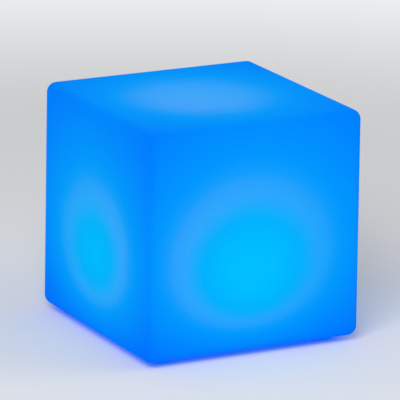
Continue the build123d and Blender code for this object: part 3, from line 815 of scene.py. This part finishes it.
@dataclass(frozen=True)
class CircuitBoard(Finish):
    """Glass-fibre laminate under solder mask.

    To the eye a glossy coloured film: the tracks run under it as paler lines, and rows of tinned
    holes break through.
    """

    mask: str = "0E5A2C"
    track: str = "1F7A3E"
    tin: str = "C8C8C2"
    pitch: float = 1.27 * MM            # from track to track
    track_share: float = 0.38           # its width over the pitch
    patch: float = 7.62 * MM            # in which the tracks run one way
    laid_above: float = 0.5             # noise above which there are tracks
    bare_below: float = 0.42            # noise below which there are rows of holes
    hole_pitch: float = 2.54 * MM
    hole_share: float = 0.2             # its radius over the pitch of the holes
    copper_height: float = 0.035 * MM
    copper_strength: float = 0.8
    roughness: float = 0.26
    ior: float = 1.5

    def wire(self, tree: Tree, shader: Node, place: Node) -> None:
        """Lay tracks in two directions, with tinned holes where there are none.

        Args:
            tree: The material's node tree.
            shader: Its shader.
            place: Its texture coordinates.
        """
        spot = place.outputs["Object"]
        axes = add_node(tree, AXES, inputs={0: spot})
        runs = []
        for axis in ("X", "Y"):
            count = add_node(tree, MATHS, DIVIDE, {0: axes.outputs[axis], 1: self.pitch}).outputs[0]
            part = add_node(tree, MATHS, FRACTION, {0: count}).outputs[0]
            run = add_node(tree, MATHS, LESS_THAN, {0: part, 1: self.track_share})
            runs.append(run.outputs[0])
        turn = add_node(
            tree, "ShaderNodeTexChecker", inputs={"Vector": spot, "Scale": 1 / self.patch}
        ).outputs["Fac"]
        tracks = add_node(tree, MIX, inputs={"Factor": turn, "A": runs[0], "B": runs[1]})
        room = add_node(
            tree, NOISE, inputs={"Vector": spot, "Scale": 1 / self.patch, "Detail": 0.0}
        ).outputs["Fac"]
        laid = add_node(tree, MATHS, GREATER_THAN, {0: room, 1: self.laid_above})
        tracks = add_node(
            tree, MATHS, MULTIPLY, {0: tracks.outputs["Result"], 1: laid.outputs[0]}
        ).outputs[0]
        grid = add_node(
            tree,
            "ShaderNodeTexVoronoi",
            {"voronoi_dimensions": "2D"},
            {"Vector": spot, "Scale": 1 / self.hole_pitch, "Randomness": 0.0},
        ).outputs["Distance"]
        hole = add_node(tree, MATHS, LESS_THAN, {0: grid, 1: self.hole_share}).outputs[0]
        bare = add_node(tree, MATHS, LESS_THAN, {0: room, 1: self.bare_below}).outputs[0]
        hole = add_node(tree, MATHS, MULTIPLY, {0: hole, 1: bare}).outputs[0]
        colour: Socket | tuple[float, ...] = linear(self.mask)
        for share, code in ((tracks, self.track), (hole, self.tin)):
            mix = add_node(
                tree, MIX, COLOURS, {"Factor": share, FIRST: colour, SECOND: linear(code)}
            )
            colour = mix.outputs[MIXED]
        bump = add_node(
            tree,
            BUMP,
            inputs={
                "Strength": self.copper_strength, "Distance": self.copper_height, "Height": tracks
            },
        )
        feed(tree, shader, {
            "Base Color": colour,
            "Metallic": hole,
            "Roughness": self.roughness,
            "IOR": self.ior,
            "Normal": bump.outputs["Normal"],
        })


@dataclass(frozen=True)
class ShrunkSleeve(MouldedPlastic):
    """PVC sleeve shrunk on a cell.

    To the eye a thin glossy film, drawn smooth along the can and puckered at its two ends.
    """

    colour: str = "1B6F69"
    shade: str = "238078"
    roughness: float = 0.26
    reach: float = 32.7 * MM            # from the middle of the cell to the end of the sleeve
    pucker: float = 4 * MM              # length of the wrinkled end
    wrinkle: float = 1.6 * MM
    wrinkle_detail: float = 1.0         # finer layers of the noise
    wrinkle_depth: float = 0.12 * MM

    def relief(self, tree: Tree, spot: Socket) -> Socket:
        """Pucker the ends of the film, and leave it smooth in between.

        Args:
            tree: The material's node tree.
            spot: The place on the object.

        Returns:
            The normal of the surface with its relief.
        """
        along = add_node(tree, AXES, inputs={0: spot}).outputs["X"]
        along = add_node(tree, MATHS, ABSOLUTE, {0: along}).outputs[0]
        near_end = add_node(
            tree,
            RANGE,
            SMOOTH,
            {"Value": along, "From Min": self.reach - self.pucker, "From Max": self.reach},
        ).outputs["Result"]
        drawn = add_node(
            tree, "ShaderNodeMapping", inputs={"Vector": spot, "Scale": Marks.ROLLED.value}
        )
        folds = add_node(
            tree,
            NOISE,
            inputs={
                "Vector": drawn.outputs["Vector"],
                "Scale": 1 / self.wrinkle,
                "Detail": self.wrinkle_detail,
            },
        ).outputs["Fac"]
        height = add_node(tree, MATHS, MULTIPLY, {0: folds, 1: near_end})
        return add_node(
            tree,
            BUMP,
            inputs={"Strength": 1.0, "Distance": self.wrinkle_depth, "Height": height.outputs[0]},
        ).outputs["Normal"]


@dataclass(frozen=True)
class WireRibbon(MouldedPlastic):
    """Extruded PVC insulation, single or as a flat ribbon of wires.

    To the eye smooth and a little waxy, with a groove between each wire and the next.
    """

    colour: str = "DEDDD6"
    shade: str = "E9E8E2"
    roughness: float = 0.38
    wire_pitch: float = 2 * MM
    groove_x: float = 0.0               # place of one groove
    groove_depth: float = 0.5 * MM

    def relief(self, tree: Tree, spot: Socket) -> Socket:
        """Press the grooves between the wires.

        Args:
            tree: The material's node tree.
            spot: The place on the object.

        Returns:
            The normal of the surface with its relief.
        """
        across = add_node(tree, AXES, inputs={0: spot}).outputs["X"]
        off = add_node(tree, MATHS, SUBTRACT, {0: across, 1: self.groove_x}).outputs[0]
        turns = add_node(tree, MATHS, MULTIPLY, {0: off, 1: math.pi / self.wire_pitch})
        wave = add_node(tree, MATHS, SINE, {0: turns.outputs[0]})
        ridge = add_node(tree, MATHS, ABSOLUTE, {0: wave.outputs[0]})
        return add_node(
            tree,
            BUMP,
            inputs={"Strength": 1.0, "Distance": self.groove_depth, "Height": ridge.outputs[0]},
        ).outputs["Normal"]


@dataclass(frozen=True)
class LitPlastic(MouldedPlastic):
    """Pale plastic or resin with the lamps' light in it.

    To the eye it glows blue, palest where a lamp stands and deeper away from it.
    """

    colour: str = "E4EEF5"
    shade: str = "F2F7FA"
    roughness: float = 0.5
    near_light: str = "B8E8FF"
    far_light: str = "0E86FF"
    ring: float = 34 * MM               # circle on which most lamps stand
    spread: float = 20 * MM
    strength: float = 0.8
    clear: float = 0.0                  # share of the light that passes straight through

    def wire(self, tree: Tree, shader: Node, place: Node) -> None:
        """Wire it as plastic, then light it by its distance from the ring of lamps.

        Args:
            tree: The material's node tree.
            shader: Its shader.
            place: Its texture coordinates.
        """
        super().wire(tree, shader, place)
        flat = add_node(tree, VECTORS, MULTIPLY, {0: place.outputs["Object"], 1: (1.0, 1.0, 0.0)})
        radius = add_node(tree, VECTORS, LENGTH, {0: flat.outputs[0]})
        off = add_node(tree, MATHS, SUBTRACT, {0: radius.outputs["Value"], 1: self.ring})
        off = add_node(tree, MATHS, ABSOLUTE, {0: off.outputs[0]})
        share = add_node(tree, RANGE, SMOOTH, {"Value": off.outputs[0], "From Max": self.spread})
        light = add_node(tree, RAMP, inputs={"Fac": share.outputs["Result"]})
        set_ramp(light, [(0.0, linear(self.near_light)), (1.0, linear(self.far_light))])
        feed(tree, shader, {
            "Emission Color": light.outputs["Color"],
            "Emission Strength": self.strength,
            "Transmission Weight": self.clear,
        })


BLACK_ABS = MouldedPlastic("black_abs")
GREY_ABS = MouldedPlastic("button_abs", colour="2A2B2E", shade="35363A", roughness=0.36)
NATURAL_NYLON = MouldedPlastic(
    "white_nylon", colour="E3DFD2", shade="EFECE2", roughness=0.42, cloud_size=5 * MM
)
# Wood flour in the resin shows as fine brown flecks under a hard gloss.
PHENOLIC = MouldedPlastic(
    "black_phenolic", colour="1B1613", shade="33271F", roughness=0.3, cloud_size=0.8 * MM
)
MOULDED_EPOXY = MouldedPlastic(
    "black_epoxy", colour="121214", shade="1A1A1E", roughness=0.33, grain_size=0.3 * MM
)
SILICONE = SiliconeRubber("black_rubber")
TURNED_BRASS = Metal("brass", colour="D8BC74", shade="C3A058", roughness=0.26, marks=Marks.TURNED)
STAINLESS = Metal("stainless_steel", colour="CBCAC8", shade="B4B3B1", roughness=0.32)
NICKEL = Metal("nickel_plate", colour="D6D2C8", shade="C2BDB2", roughness=0.2, marks=Marks.TURNED)
MILL_ALUMINIUM = Metal(
    "aluminium_plate",
    colour="D4D6D8",
    shade="C3C5C8",
    roughness=0.36,
    marks=Marks.ROLLED,
    mark_size=0.5 * MM,
)
CELL_STEEL = Metal(
    "cell_steel", colour="C9C9C6", shade="B4B4B2", roughness=0.24, marks=Marks.ROLLED
)
GREEN_BOARD = CircuitBoard("green_circuit_board")
WHITE_BOARD = CircuitBoard("white_circuit_board", mask="D6D9D5", track="C8CCC7", tin="BEBEB8")
SLEEVE = ShrunkSleeve("cell_wrap")
# Smooth insulation on a single round lead, with no grooves to show.
RED_LEAD = MouldedPlastic(
    "red_lead", colour="A81A14", shade="BC241C", roughness=0.38, grain_depth=0.01 * MM
)
WHITE_LEAD = WireRibbon("white_lead")
FROSTED = LitPlastic(
    "frosted_polycarbonate",
    colour="B9CBD9",
    shade="C6D6E2",
    near_light="6CC4FF",
    strength=0.42,
    clear=0.2,
)
LAMP_BODY = LitPlastic(
    "lamp_package", colour="D9D9D1", shade="E2E2DC", roughness=0.35, spread=60 * MM, strength=0.08
)
LAMP_WINDOW = LitPlastic(
    "lamp_window",
    colour="7FB4DC",
    shade="8FC0E4",
    roughness=0.08,
    near_light="4FB6FF",
    far_light="1E96FF",
    spread=60 * MM,
    strength=0.75,
)


@cache
def material_of(finish: Finish) -> bpy.types.Material:
    """Make a finish's material once, however many pieces wear it.

    Args:
        finish: The finish.

    Returns:
        Its material.
    """
    return finish.build()


def wear(finishes: dict[Finish, Sequence[str]]) -> None:
    """Dress nodes of the frame in their finishes.

    Args:
        finishes: The nodes of each finish.
    """
    for finish, names in finishes.items():
        for name in names:
            dress(NODES[name], material_of(finish))
            log.info("%s dressed in %s", name, finish.name)


def place_piece(piece: Piece, body: Body | None, finish: Finish, slot: str, *replaced: str) -> None:
    """Finish a modelled piece and fasten it to its body.

    Args:
        piece: The piece, with its mesh done.
        body: The body that it rides on, or None for a piece between two bodies, which is then fastened
            to neither.
        finish: Its finish.
        slot: Material slot of the record; not used.
        replaced: Nodes that it stands for.
    """
    settle(piece)
    dress(piece, material_of(finish))
    if body is not None:
        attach(piece, body.value)
    if replaced:
        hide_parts(*replaced)
    log.info("%s modelled in %s, %d faces", piece.name, finish.name, len(piece.data.polygons))


# ---- Screws ----
def solids_of(node: str) -> list[list[Vector]]:
    """Split a node's points by solid.

    Args:
        node: A node that groups alike solids.

    Returns:
        The points of each solid, the solids in order of their place.
    """
    whole = bpy.data.objects.new("measured", NODES[node].data.copy())
    put_in_scene(whole)
    pick(whole)
    with editing():
        bpy.ops.mesh.remove_doubles(threshold=NEAR)
        bpy.ops.mesh.separate(type="LOOSE")
    solids = []
    for part in list(bpy.context.selected_objects):
        solids.append([point.co.copy() for point in part.data.vertices])
        bpy.data.objects.remove(part)
    return sorted(solids, key=lambda points: min(tuple(point) for point in points))


@dataclass(frozen=True)
class PlainScrew:
    """Place and sizes of one screw of the frame, whose shank is a plain cylinder."""

    x: float
    y: float
    tip: float
    seat: float
    top: float
    shank_radius: float
    head_radius: float
    rim_share: ClassVar[float] = 0.99   # of the head's radius; points further out are on its rim

    @classmethod
    def measured(cls, points: Sequence[Vector]) -> "PlainScrew":
        """Measure a screw.

        Args:
            points: The points of its mesh.

        Returns:
            Its place and sizes.
        """
        lows = [min(along) for along in zip(*points)]
        highs = [max(along) for along in zip(*points)]
        x, y = (lows[0] + highs[0]) / 2, (lows[1] + highs[1]) / 2
        head_radius = (highs[0] - lows[0]) / 2
        reach = [(math.hypot(point.x - x, point.y - y), point.z) for point in points]
        rim = [level for radius, level in reach if radius > head_radius * cls.rim_share]
        top, tip = sorted((lows[2], highs[2]), key=lambda end: abs(end - rim[0]))
        seat = min(rim, key=lambda level: abs(level - tip))
        shank_radius = max(radius for radius, level in reach if abs(level - tip) < NEAR)
        return cls(x, y, tip, seat, top, shank_radius, head_radius)

    def stand(self) -> Matrix:
        """Give where a screw modelled head up on the origin goes, and how it is turned."""
        turn = 0.0 if self.top > self.seat else math.pi
        return Matrix.Translation((self.x, self.y, self.seat)) @ Matrix.Rotation(turn, 4, "X")


@dataclass
class Screws:
    """A group of alike button-head screws, with the threads that the plain ones lack."""

    node: str
    pitch: float                        # from thread to thread
    turn_steps: int = 18
    thread_depth: float = 0.61          # this and the height of a flank are shares of the pitch
    flank_height: float = 0.38
    head_sides: int = 36
    crown_share: float = 0.45           # of the head's height, taken by its rounded rim
    crown_steps: int = 4
    socket_share: float = 0.55          # the hexagon's of the head's radius, and of its height
    sink: float = 0.2 * MM              # of the shank in the head

    def shank(self, radius: float, length: float) -> Piece:
        """Model the threaded shank, which hangs from just above the origin.

        Args:
            radius: Over the crests of the thread.
            length: Below the origin.

        Returns:
            The closed shank.
        """
        depth = self.thread_depth * self.pitch
        flank = self.flank_height * self.pitch
        land = self.pitch / 2 - flank
        deselect()
        bpy.ops.mesh.primitive_plane_add(
            size=self.pitch, location=(radius - depth, 0, -length - self.pitch)
        )
        shank = bpy.context.object
        put_place_in_mesh()
        # One point is drawn up along the outline of one turn of the thread.
        with editing():
            bpy.ops.mesh.merge(type="CENTER")
            for out, rise in ((depth, flank), (0, land), (-depth, flank), (0, land)):
                bpy.ops.mesh.extrude_vertices_move(TRANSFORM_OT_translate={"value": (out, 0, rise)})
        # The thread is turned a little past both ends, and then cut to its length.
        add_modifier(
            shank,
            "SCREW",
            screw_offset=self.pitch,
            iterations=math.ceil(length / self.pitch) + 2,
            steps=self.turn_steps,
            render_steps=self.turn_steps,
        )
        with editing():
            bpy.ops.mesh.remove_doubles(threshold=NEAR)
            for level, past in ((-length, "clear_inner"), (self.sink, "clear_outer")):
                bpy.ops.mesh.select_all(action="SELECT")
                bpy.ops.mesh.bisect(
                    plane_co=(0, 0, level),
                    plane_no=(0, 0, 1),
                    threshold=NEAR,
                    use_fill=True,
                    **{past: True},
                )
            face_outwards()
        return shank

    def head(self, radius: float, height: float) -> Piece:
        """Model the head, which stands on the origin.

        Args:
            radius: Of its rim.
            height: From its seat to its top.

        Returns:
            The head, with a rounded rim and a hexagon socket.
        """
        deselect()
        bpy.ops.mesh.primitive_cylinder_add(
            vertices=self.head_sides, radius=radius, depth=height, location=(0, 0, height / 2)
        )
        head = bpy.context.object
        put_place_in_mesh()
        with editing():
            select_points(head, lambda point: point.z > height / 2)
            bpy.ops.mesh.bevel(
                offset=height * self.crown_share, segments=self.crown_steps, affect="EDGES"
            )
        deselect()
        bpy.ops.mesh.primitive_cylinder_add(
            vertices=6,
            radius=radius * self.socket_share,
            depth=2 * height * self.socket_share,
            location=(0, 0, height),
        )
        hexagon = bpy.context.object
        add_modifier(head, "BOOLEAN", operation="DIFFERENCE", object=hexagon, solver="EXACT")
        bpy.data.objects.remove(hexagon)
        return head

    def build(self) -> None:
        """Measure the plain screws, model one and set a copy in the place of each."""
        plain = [PlainScrew.measured(points) for points in solids_of(self.node)]
        alike = plain[0]
        first = join([
            self.head(alike.head_radius, abs(alike.top - alike.seat)),
            self.shank(alike.shank_radius, abs(alike.seat - alike.tip)),
        ])
        first.name = f"{self.node}_threaded"
        screws = repeat(first, [screw.stand() for screw in plain])
        place_piece(screws, Body.CUBE, STAINLESS, "stainless_steel", self.node)


# ---- The moulded shell ----
@dataclass
class Shell:
    """The hollow moulded cube with its feet."""

    node: str = "cube_shell"
    foot_height: float = 7 * MM

    def body(self) -> tuple[Vector, Vector]:
        """Give the lowest and highest corner of the cube above its feet."""
        low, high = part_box(self.node)
        return Vector((low.x, low.y, low.z + self.foot_height)), Vector(high)

    def build(self) -> None:
        """Dress the shell in its glow."""
        low, high = self.body()
        finish = GlowingPolyethylene("glowing_polyethylene", low, high)
        dress(NODES[self.node], finish.build())
        log.info("%s dressed in %s", self.node, finish.name)


# ---- The lamp module ----
@dataclass
class ModuleCase:
    """Cup and flange that close the recess, with the screws and their inserts."""

    screw_pitch: float = 0.7 * MM

    def build(self) -> None:
        """Dress the case and what fastens and seals it."""
        wear({
            BLACK_ABS: ("module_housing",),
            SILICONE: ("module_gasket",),
            TURNED_BRASS: ("threaded_inserts",),
        })
        Screws("module_screws", self.screw_pitch).build()


@dataclass
class LampHead:
    """Lamp board on its heat plate, under the frosted dome."""

    screw_pitch: float = 0.5 * MM
    package_side: float = 5 * MM
    outer_count: int = 12
    inner_circle: float = 14 * MM
    inner_count: int = 4
    inner_start: float = math.radians(45)
    window_radius: float = 1.9 * MM
    window_rise: float = 0.35 * MM
    window_sides: int = 20
    window_edge: float = 1 / 3          # upright edge over the rise
    # Steps of the dome above the edge: inset over the radius, and climb over the rise.
    window_steps: tuple[tuple[float, float], ...] = ((0.15, 0.36), (0.25, 0.2), (0.3, 0.1))

    def window(self) -> Piece:
        """Model the domed resin window of one lamp, round the origin.

        Returns:
            The window, a low lens with a closed underside.
        """
        deselect()
        bpy.ops.mesh.primitive_circle_add(
            vertices=self.window_sides, radius=self.window_radius, fill_type="NGON"
        )
        window = bpy.context.object
        window.name = "lamp_windows"
        edge = self.window_rise * self.window_edge
        with editing():
            bpy.ops.mesh.extrude_region_move(TRANSFORM_OT_translate={"value": (0, 0, edge)})
            for width, rise in self.window_steps:
                bpy.ops.mesh.inset(
                    thickness=self.window_radius * width, depth=self.window_rise * rise
                )
            face_outwards()
        return window

    def windows(self) -> None:
        """Set a window on each lamp of the outer ring and of the inner group."""
        _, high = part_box("led_chips")
        outer_circle = high.x - self.package_side / 2
        rings = (
            (outer_circle, self.outer_count, 0.0),
            (self.inner_circle, self.inner_count, self.inner_start),
        )
        places = []
        for radius, count, start in rings:
            for index in range(count):
                turn = start + 2 * math.pi * index / count
                spot = (radius * math.cos(turn), radius * math.sin(turn), high.z)
                places.append(Matrix.Translation(spot))
        windows = repeat(self.window(), places)
        place_piece(windows, Body.CUBE, LAMP_WINDOW, "lamp_package")

    def build(self) -> None:
        """Dress the lamp head and give each lamp its window."""
        wear({
            MILL_ALUMINIUM: ("heat_plate",),
            WHITE_BOARD: ("lamp_board",),
            LAMP_BODY: ("led_chips",),
            MOULDED_EPOXY: ("ir_receiver",),
            FROSTED: ("light_dome",),
            SILICONE: ("dome_gasket",),
            NATURAL_NYLON: ("lamp_board_header",),
            WHITE_LEAD: ("lamp_leads",),
        })
        self.windows()
        for node in ("dome_screws", "plate_screws"):
            Screws(node, self.screw_pitch).build()


@dataclass
class Battery:
    """Two sleeved cells under their strap."""

    screw_pitch: float = 0.45 * MM

    def build(self) -> None:
        """Dress the battery and its leads."""
        wear({
            CELL_STEEL: ("battery_cells",),
            SLEEVE: ("battery_wraps",),
            NICKEL: ("battery_tabs",),
            BLACK_ABS: ("battery_strap",),
            RED_LEAD: ("battery_leads",),
        })
        Screws("strap_screws", self.screw_pitch).build()


@dataclass
class ControlBoard:
    """Board for charging and colour control, with what stands on it."""

    screw_pitch: float = 0.45 * MM

    def build(self) -> None:
        """Dress the board, its chips and its connectors."""
        wear({
            GREEN_BOARD: ("control_board",),
            NATURAL_NYLON: ("board_headers", "battery_terminals"),
            MOULDED_EPOXY: ("board_chips",),
        })
        Screws("board_screws", self.screw_pitch).build()


# ---- The controls under the base ----
@dataclass
class PushSwitch:
    """Push switch with its button and the rubber boot that pushes it back."""

    boot_sides: int = 48
    boot_wall: float = 0.55 * MM
    boot_travel: float = 1.5 * MM
    boot_edge: float = 0.12 * MM        # rounding of its lips
    boot_edge_steps: int = 2
    # Radius and height over the button's shoulder: a lip, a bell and the seat against the base.
    boot_rings: tuple[tuple[float, float], ...] = (
        (3.00 * MM, 0.0),
        (3.00 * MM, 0.45 * MM),
        (3.12 * MM, 0.8 * MM),
        (3.45 * MM, 1.5 * MM),
        (4.05 * MM, 3.9 * MM),
        (4.42 * MM, 4.9 * MM),
        (4.60 * MM, 5.35 * MM),
        (4.60 * MM, 5.9 * MM),
    )

    def boot(self) -> None:
        """Model the boot in place of its plain cone, in its rest shape; the real boot flattens as the
        button goes in.
        """
        low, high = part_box("return_boot")
        axis = Vector(((low.x + high.x) / 2, (low.y + high.y) / 2, low.z))
        boot = draw_skin("switch_boot", axis, self.boot_rings, self.boot_sides)
        add_modifier(boot, "SOLIDIFY", thickness=self.boot_wall, offset=-1.0)
        add_modifier(
            boot, "BEVEL", width=self.boot_edge, segments=self.boot_edge_steps, limit_method="ANGLE"
        )
        place_piece(boot, Body.CUBE, SILICONE, "black_rubber", "return_boot")
        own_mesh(boot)

    def build(self) -> None:
        """Dress the switch and model its boot."""
        ribbon = WireRibbon("white_lead_ribbon", groove_x=middle_x(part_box("switch_leads")))
        wear({
            NICKEL: ("switch_barrel", "switch_nut"),
            GREY_ABS: ("power_button",),
            PHENOLIC: ("switch_base",),
            TURNED_BRASS: ("switch_terminals",),
            SILICONE: ("switch_seal",),
            ribbon: ("switch_leads",),
        })
        self.boot()


@dataclass
class ChargingSocket:
    """Charging socket under its rubber flap."""

    web_width: float = 4.4 * MM
    web_thickness: float = 0.5 * MM
    web_hold: float = 0.35 * MM         # depth of the web in the flap's knuckle and in its anchor
    web_cuts: int = 8
    web_waist: tuple[float, float, float] = (0.94, 1.0, 0.7)    # its middle over its ends
    rib_count: int = 3
    rib_pitch: float = 1.3 * MM
    rib_width: float = 0.5 * MM
    rib_length: float = 4.6 * MM
    rib_margin: float = 1.2 * MM        # from the end of the tab to the first rib
    rib_sides: int = 16
    rib_edge: float = 0.15 * MM         # rounding of its ends
    rib_edge_steps: int = 3

    def web(self) -> None:
        """Model the thin web on which the flap turns, between its strap and its anchor."""
        anchor_low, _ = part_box("flap_anchor")
        joint = next(joint for joint in frame["joints"] if joint["name"] == "flap_hinge")
        axis = Vector(joint["pos_m"])
        start_y = anchor_low.y + self.web_hold
        end_y = axis.y
        length = start_y - end_y
        middle = (start_y + end_y) / 2
        deselect()
        bpy.ops.mesh.primitive_cube_add(size=1, location=(axis.x, middle, axis.z))
        web = bpy.context.object
        web.name = "flap_web"
        web.scale = (self.web_width, length, self.web_thickness)
        put_place_in_mesh()
        with editing():
            for index in range(1, self.web_cuts + 1):
                bpy.ops.mesh.select_all(action="SELECT")
                cut_y = end_y + length * index / (self.web_cuts + 1)
                bpy.ops.mesh.bisect(plane_co=(axis.x, cut_y, axis.z), plane_no=(0, 1, 0))
            # The middle half of the length is the waist.
            select_points(web, lambda point: abs(point.y - middle) < length / 4)
            bpy.ops.transform.resize(value=self.web_waist, center_override=(axis.x, middle, axis.z))
        place_piece(web, None, SILICONE, "black_rubber")
        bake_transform(web)

    def grip_ribs(self) -> None:
        """Model the low ribs on the pull tab that a fingernail catches."""
        low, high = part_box("port_flap")
        ribs = []
        for index in range(self.rib_count):
            deselect()
            bpy.ops.mesh.primitive_cylinder_add(
                vertices=self.rib_sides,
                radius=self.rib_width / 2,
                depth=self.rib_length,
                location=(
                    middle_x((low, high)), low.y + self.rib_margin + index * self.rib_pitch, low.z
                ),
                rotation=(0, math.radians(90), 0),
            )
            rib = bpy.context.object
            rib.name = "flap_grip_ribs"
            add_modifier(
                rib,
                "BEVEL",
                width=self.rib_edge,
                segments=self.rib_edge_steps,
                limit_method="ANGLE",
            )
            ribs.append(rib)
        place_piece(join(ribs), Body.FLAP, SILICONE, "black_rubber")

    def build(self) -> None:
        """Dress the socket and its flap, and model the web and the ribs."""
        ribbon = WireRibbon(
            "red_lead_ribbon",
            colour=RED_LEAD.colour,
            shade=RED_LEAD.shade,
            groove_x=middle_x(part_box("socket_leads")),
        )
        wear({
            NICKEL: ("charge_socket", "socket_nut"),
            PHENOLIC: ("socket_base",),
            TURNED_BRASS: ("socket_pin", "socket_contact"),
            SILICONE: ("socket_seal", "port_flap", "flap_anchor"),
            ribbon: ("socket_leads",),
        })
        self.web()
        self.grip_ribs()


# ---- The stage ----
@dataclass(frozen=True)
class StudioLamp:
    """One square soft lamp of the studio."""

    name: str
    place: tuple[float, float, float]   # metres, as its side is
    power: float                        # watts
    side: float

    def hang(self, target: Vector) -> None:
        """Hang the lamp in its place.

        Args:
            target: What it faces.
        """
        data = bpy.data.lights.new(self.name, "AREA")
        data.energy = self.power
        data.size = self.side
        lamp = bpy.data.objects.new(self.name, data)
        lamp.location = self.place
        way = target - Vector(self.place)
        lamp.rotation_euler = way.to_track_quat("-Z", "Y").to_euler()
        lamp.visible_camera = False
        put_in_scene(lamp)


@dataclass
class Stage:
    """Pale floor and soft studio light."""

    floor_size: float = 60.0
    floor_colour: str = "E9EAEC"
    backdrop_colour: str = "F3F4F6"
    near: float = 0.9                   # the floor takes light and shadow up to here
    far: float = 2.2                    # and is plain backdrop from here on
    ambient: float = 0.55
    # The last lamp, under the floor, is narrower than the cube, so that it lights the base alone.
    lamps: tuple[StudioLamp, ...] = (
        StudioLamp("key_lamp", (-2.2, -2.4, 2.6), 105.0, 2.4),
        StudioLamp("fill_lamp", (3.2, -1.6, 1.6), 34.0, 2.8),
        StudioLamp("base_lamp", (0.0, 0.0, -0.7), 3.0, 0.26),
    )

    def floor_finish(self) -> bpy.types.Material:
        """Make the floor's material, which fades into the backdrop.

        Returns:
            The material.
        """
        material = bpy.data.materials.new("pale_floor")
        tree = empty_tree(material)
        place = add_node(tree, "ShaderNodeTexCoord")
        reach = add_node(tree, VECTORS, LENGTH, {0: place.outputs["Object"]})
        fade = add_node(
            tree,
            RANGE,
            SMOOTH,
            {"Value": reach.outputs["Value"], "From Min": self.near, "From Max": self.far},
        )
        ray = add_node(tree, "ShaderNodeLightPath")
        seen = add_node(
            tree, MATHS, MULTIPLY, {0: fade.outputs["Result"], 1: ray.outputs["Is Camera Ray"]}
        )
        matt = add_node(tree, "ShaderNodeBsdfDiffuse", inputs={"Color": linear(self.floor_colour)})
        plain = add_node(tree, "ShaderNodeEmission", inputs={"Color": linear(self.backdrop_colour)})
        mix = add_node(
            tree,
            "ShaderNodeMixShader",
            inputs={0: seen.outputs[0], 1: matt.outputs[0], 2: plain.outputs[0]},
        )
        # The floor is clear to a look from underneath, and to the light of the lamp below it, so
        # that the controls in the base show.
        side = add_node(tree, "ShaderNodeNewGeometry")
        below = add_node(
            tree, MATHS, MULTIPLY, {0: side.outputs["Backfacing"], 1: ray.outputs["Is Camera Ray"]}
        )
        through = add_node(
            tree, MATHS, MAXIMUM, {0: below.outputs[0], 1: ray.outputs["Is Shadow Ray"]}
        )
        clear = add_node(tree, "ShaderNodeBsdfTransparent")
        shown = add_node(
            tree,
            "ShaderNodeMixShader",
            inputs={0: through.outputs[0], 1: mix.outputs[0], 2: clear.outputs[0]},
        )
        add_node(tree, "ShaderNodeOutputMaterial", inputs={"Surface": shown.outputs[0]})
        return material

    def floor(self) -> None:
        """Lay a wide pale floor."""
        deselect()
        bpy.ops.mesh.primitive_plane_add(size=self.floor_size)
        floor = bpy.context.object
        floor.name = "floor"
        dress(floor, self.floor_finish())

    def world(self) -> None:
        """Light from all round, with the pale backdrop for what is seen or mirrored."""
        world = bpy.data.worlds.new("studio")
        bpy.context.scene.world = world
        tree = empty_tree(world)
        ray = add_node(tree, "ShaderNodeLightPath")
        seen = ray.outputs["Is Camera Ray"]
        for kind in ("Is Glossy Ray", "Is Transmission Ray"):
            either = add_node(tree, MATHS, MAXIMUM, {0: seen, 1: ray.outputs[kind]})
            seen = either.outputs[0]
        soft = add_node(tree, "ShaderNodeBackground", inputs={"Strength": self.ambient})
        plain = add_node(
            tree, "ShaderNodeBackground", inputs={"Color": linear(self.backdrop_colour)}
        )
        mix = add_node(
            tree, "ShaderNodeMixShader", inputs={0: seen, 1: soft.outputs[0], 2: plain.outputs[0]}
        )
        add_node(tree, "ShaderNodeOutputWorld", inputs={"Surface": mix.outputs[0]})

    def build(self, centre: Vector) -> None:
        """Set the stage.

        Args:
            centre: Middle of the cube's body.
        """
        self.floor()
        self.world()
        for lamp in self.lamps:
            lamp.hang(centre)
        log.info("stage set round %s", tuple(round(c, 4) for c in centre))


@dataclass
class Camera:
    """The view of the photograph, worked out from the cube's outline in it."""

    yaw: float = math.radians(27.82)        # the camera stands to the left of the wide face
    pitch: float = math.radians(15.7)       # and looks down
    roll: float = math.radians(0.905)
    distance: float = 5.47                  # from the middle of the body
    focal_pixels: float = 4336.0
    frame_pixels: float = 400.0
    centre_right: float = 0.53              # pixels from the frame's middle to the body's middle
    centre_down: float = 7.94
    sensor: float = 36.0                    # millimetres

    def build(self, centre: Vector) -> None:
        """Set up the camera.

        Args:
            centre: Middle of the cube's body.
        """
        forward = Vector((
            math.sin(self.yaw) * math.cos(self.pitch),
            math.cos(self.yaw) * math.cos(self.pitch),
            -math.sin(self.pitch),
        ))
        right = forward.cross(Vector((0, 0, 1))).normalized()
        up = right.cross(forward)
        place = centre - forward * self.distance
        cos_roll, sin_roll = math.cos(self.roll), math.sin(self.roll)
        across = -(cos_roll * self.centre_right + sin_roll * self.centre_down)
        down = -(cos_roll * self.centre_down - sin_roll * self.centre_right)
        scale = self.distance / self.focal_pixels
        aim = centre + right * across * scale - up * down * scale
        forward = (aim - place).normalized()
        right = forward.cross(Vector((0, 0, 1))).normalized()
        up = right.cross(forward)
        side = right * cos_roll + up * sin_roll
        top = up * cos_roll - right * sin_roll
        data = bpy.data.cameras.new("camera")
        data.sensor_width = self.sensor
        data.lens = self.focal_pixels / self.frame_pixels * self.sensor
        camera = bpy.data.objects.new("camera", data)
        turn = Matrix((side, top, -forward)).transposed().to_4x4()
        camera.matrix_world = Matrix.Translation(place) @ turn
        put_in_scene(camera)
        bpy.context.scene.camera = camera


def main() -> None:
    """Build and dress every sub-assembly, set the stage and set up the camera."""
    logging.basicConfig(level=logging.INFO, format="%(name)s: %(message)s")
    shell = Shell()
    for assembly in (
        shell, ModuleCase(), LampHead(), Battery(), ControlBoard(), PushSwitch(), ChargingSocket()
    ):
        assembly.build()
    low, high = shell.body()
    centre = (low + high) / 2
    Stage().build(centre)
    Camera().build(centre)
    bpy.context.scene.view_settings.view_transform = "Standard"


if __name__ == "__main__":
    main()
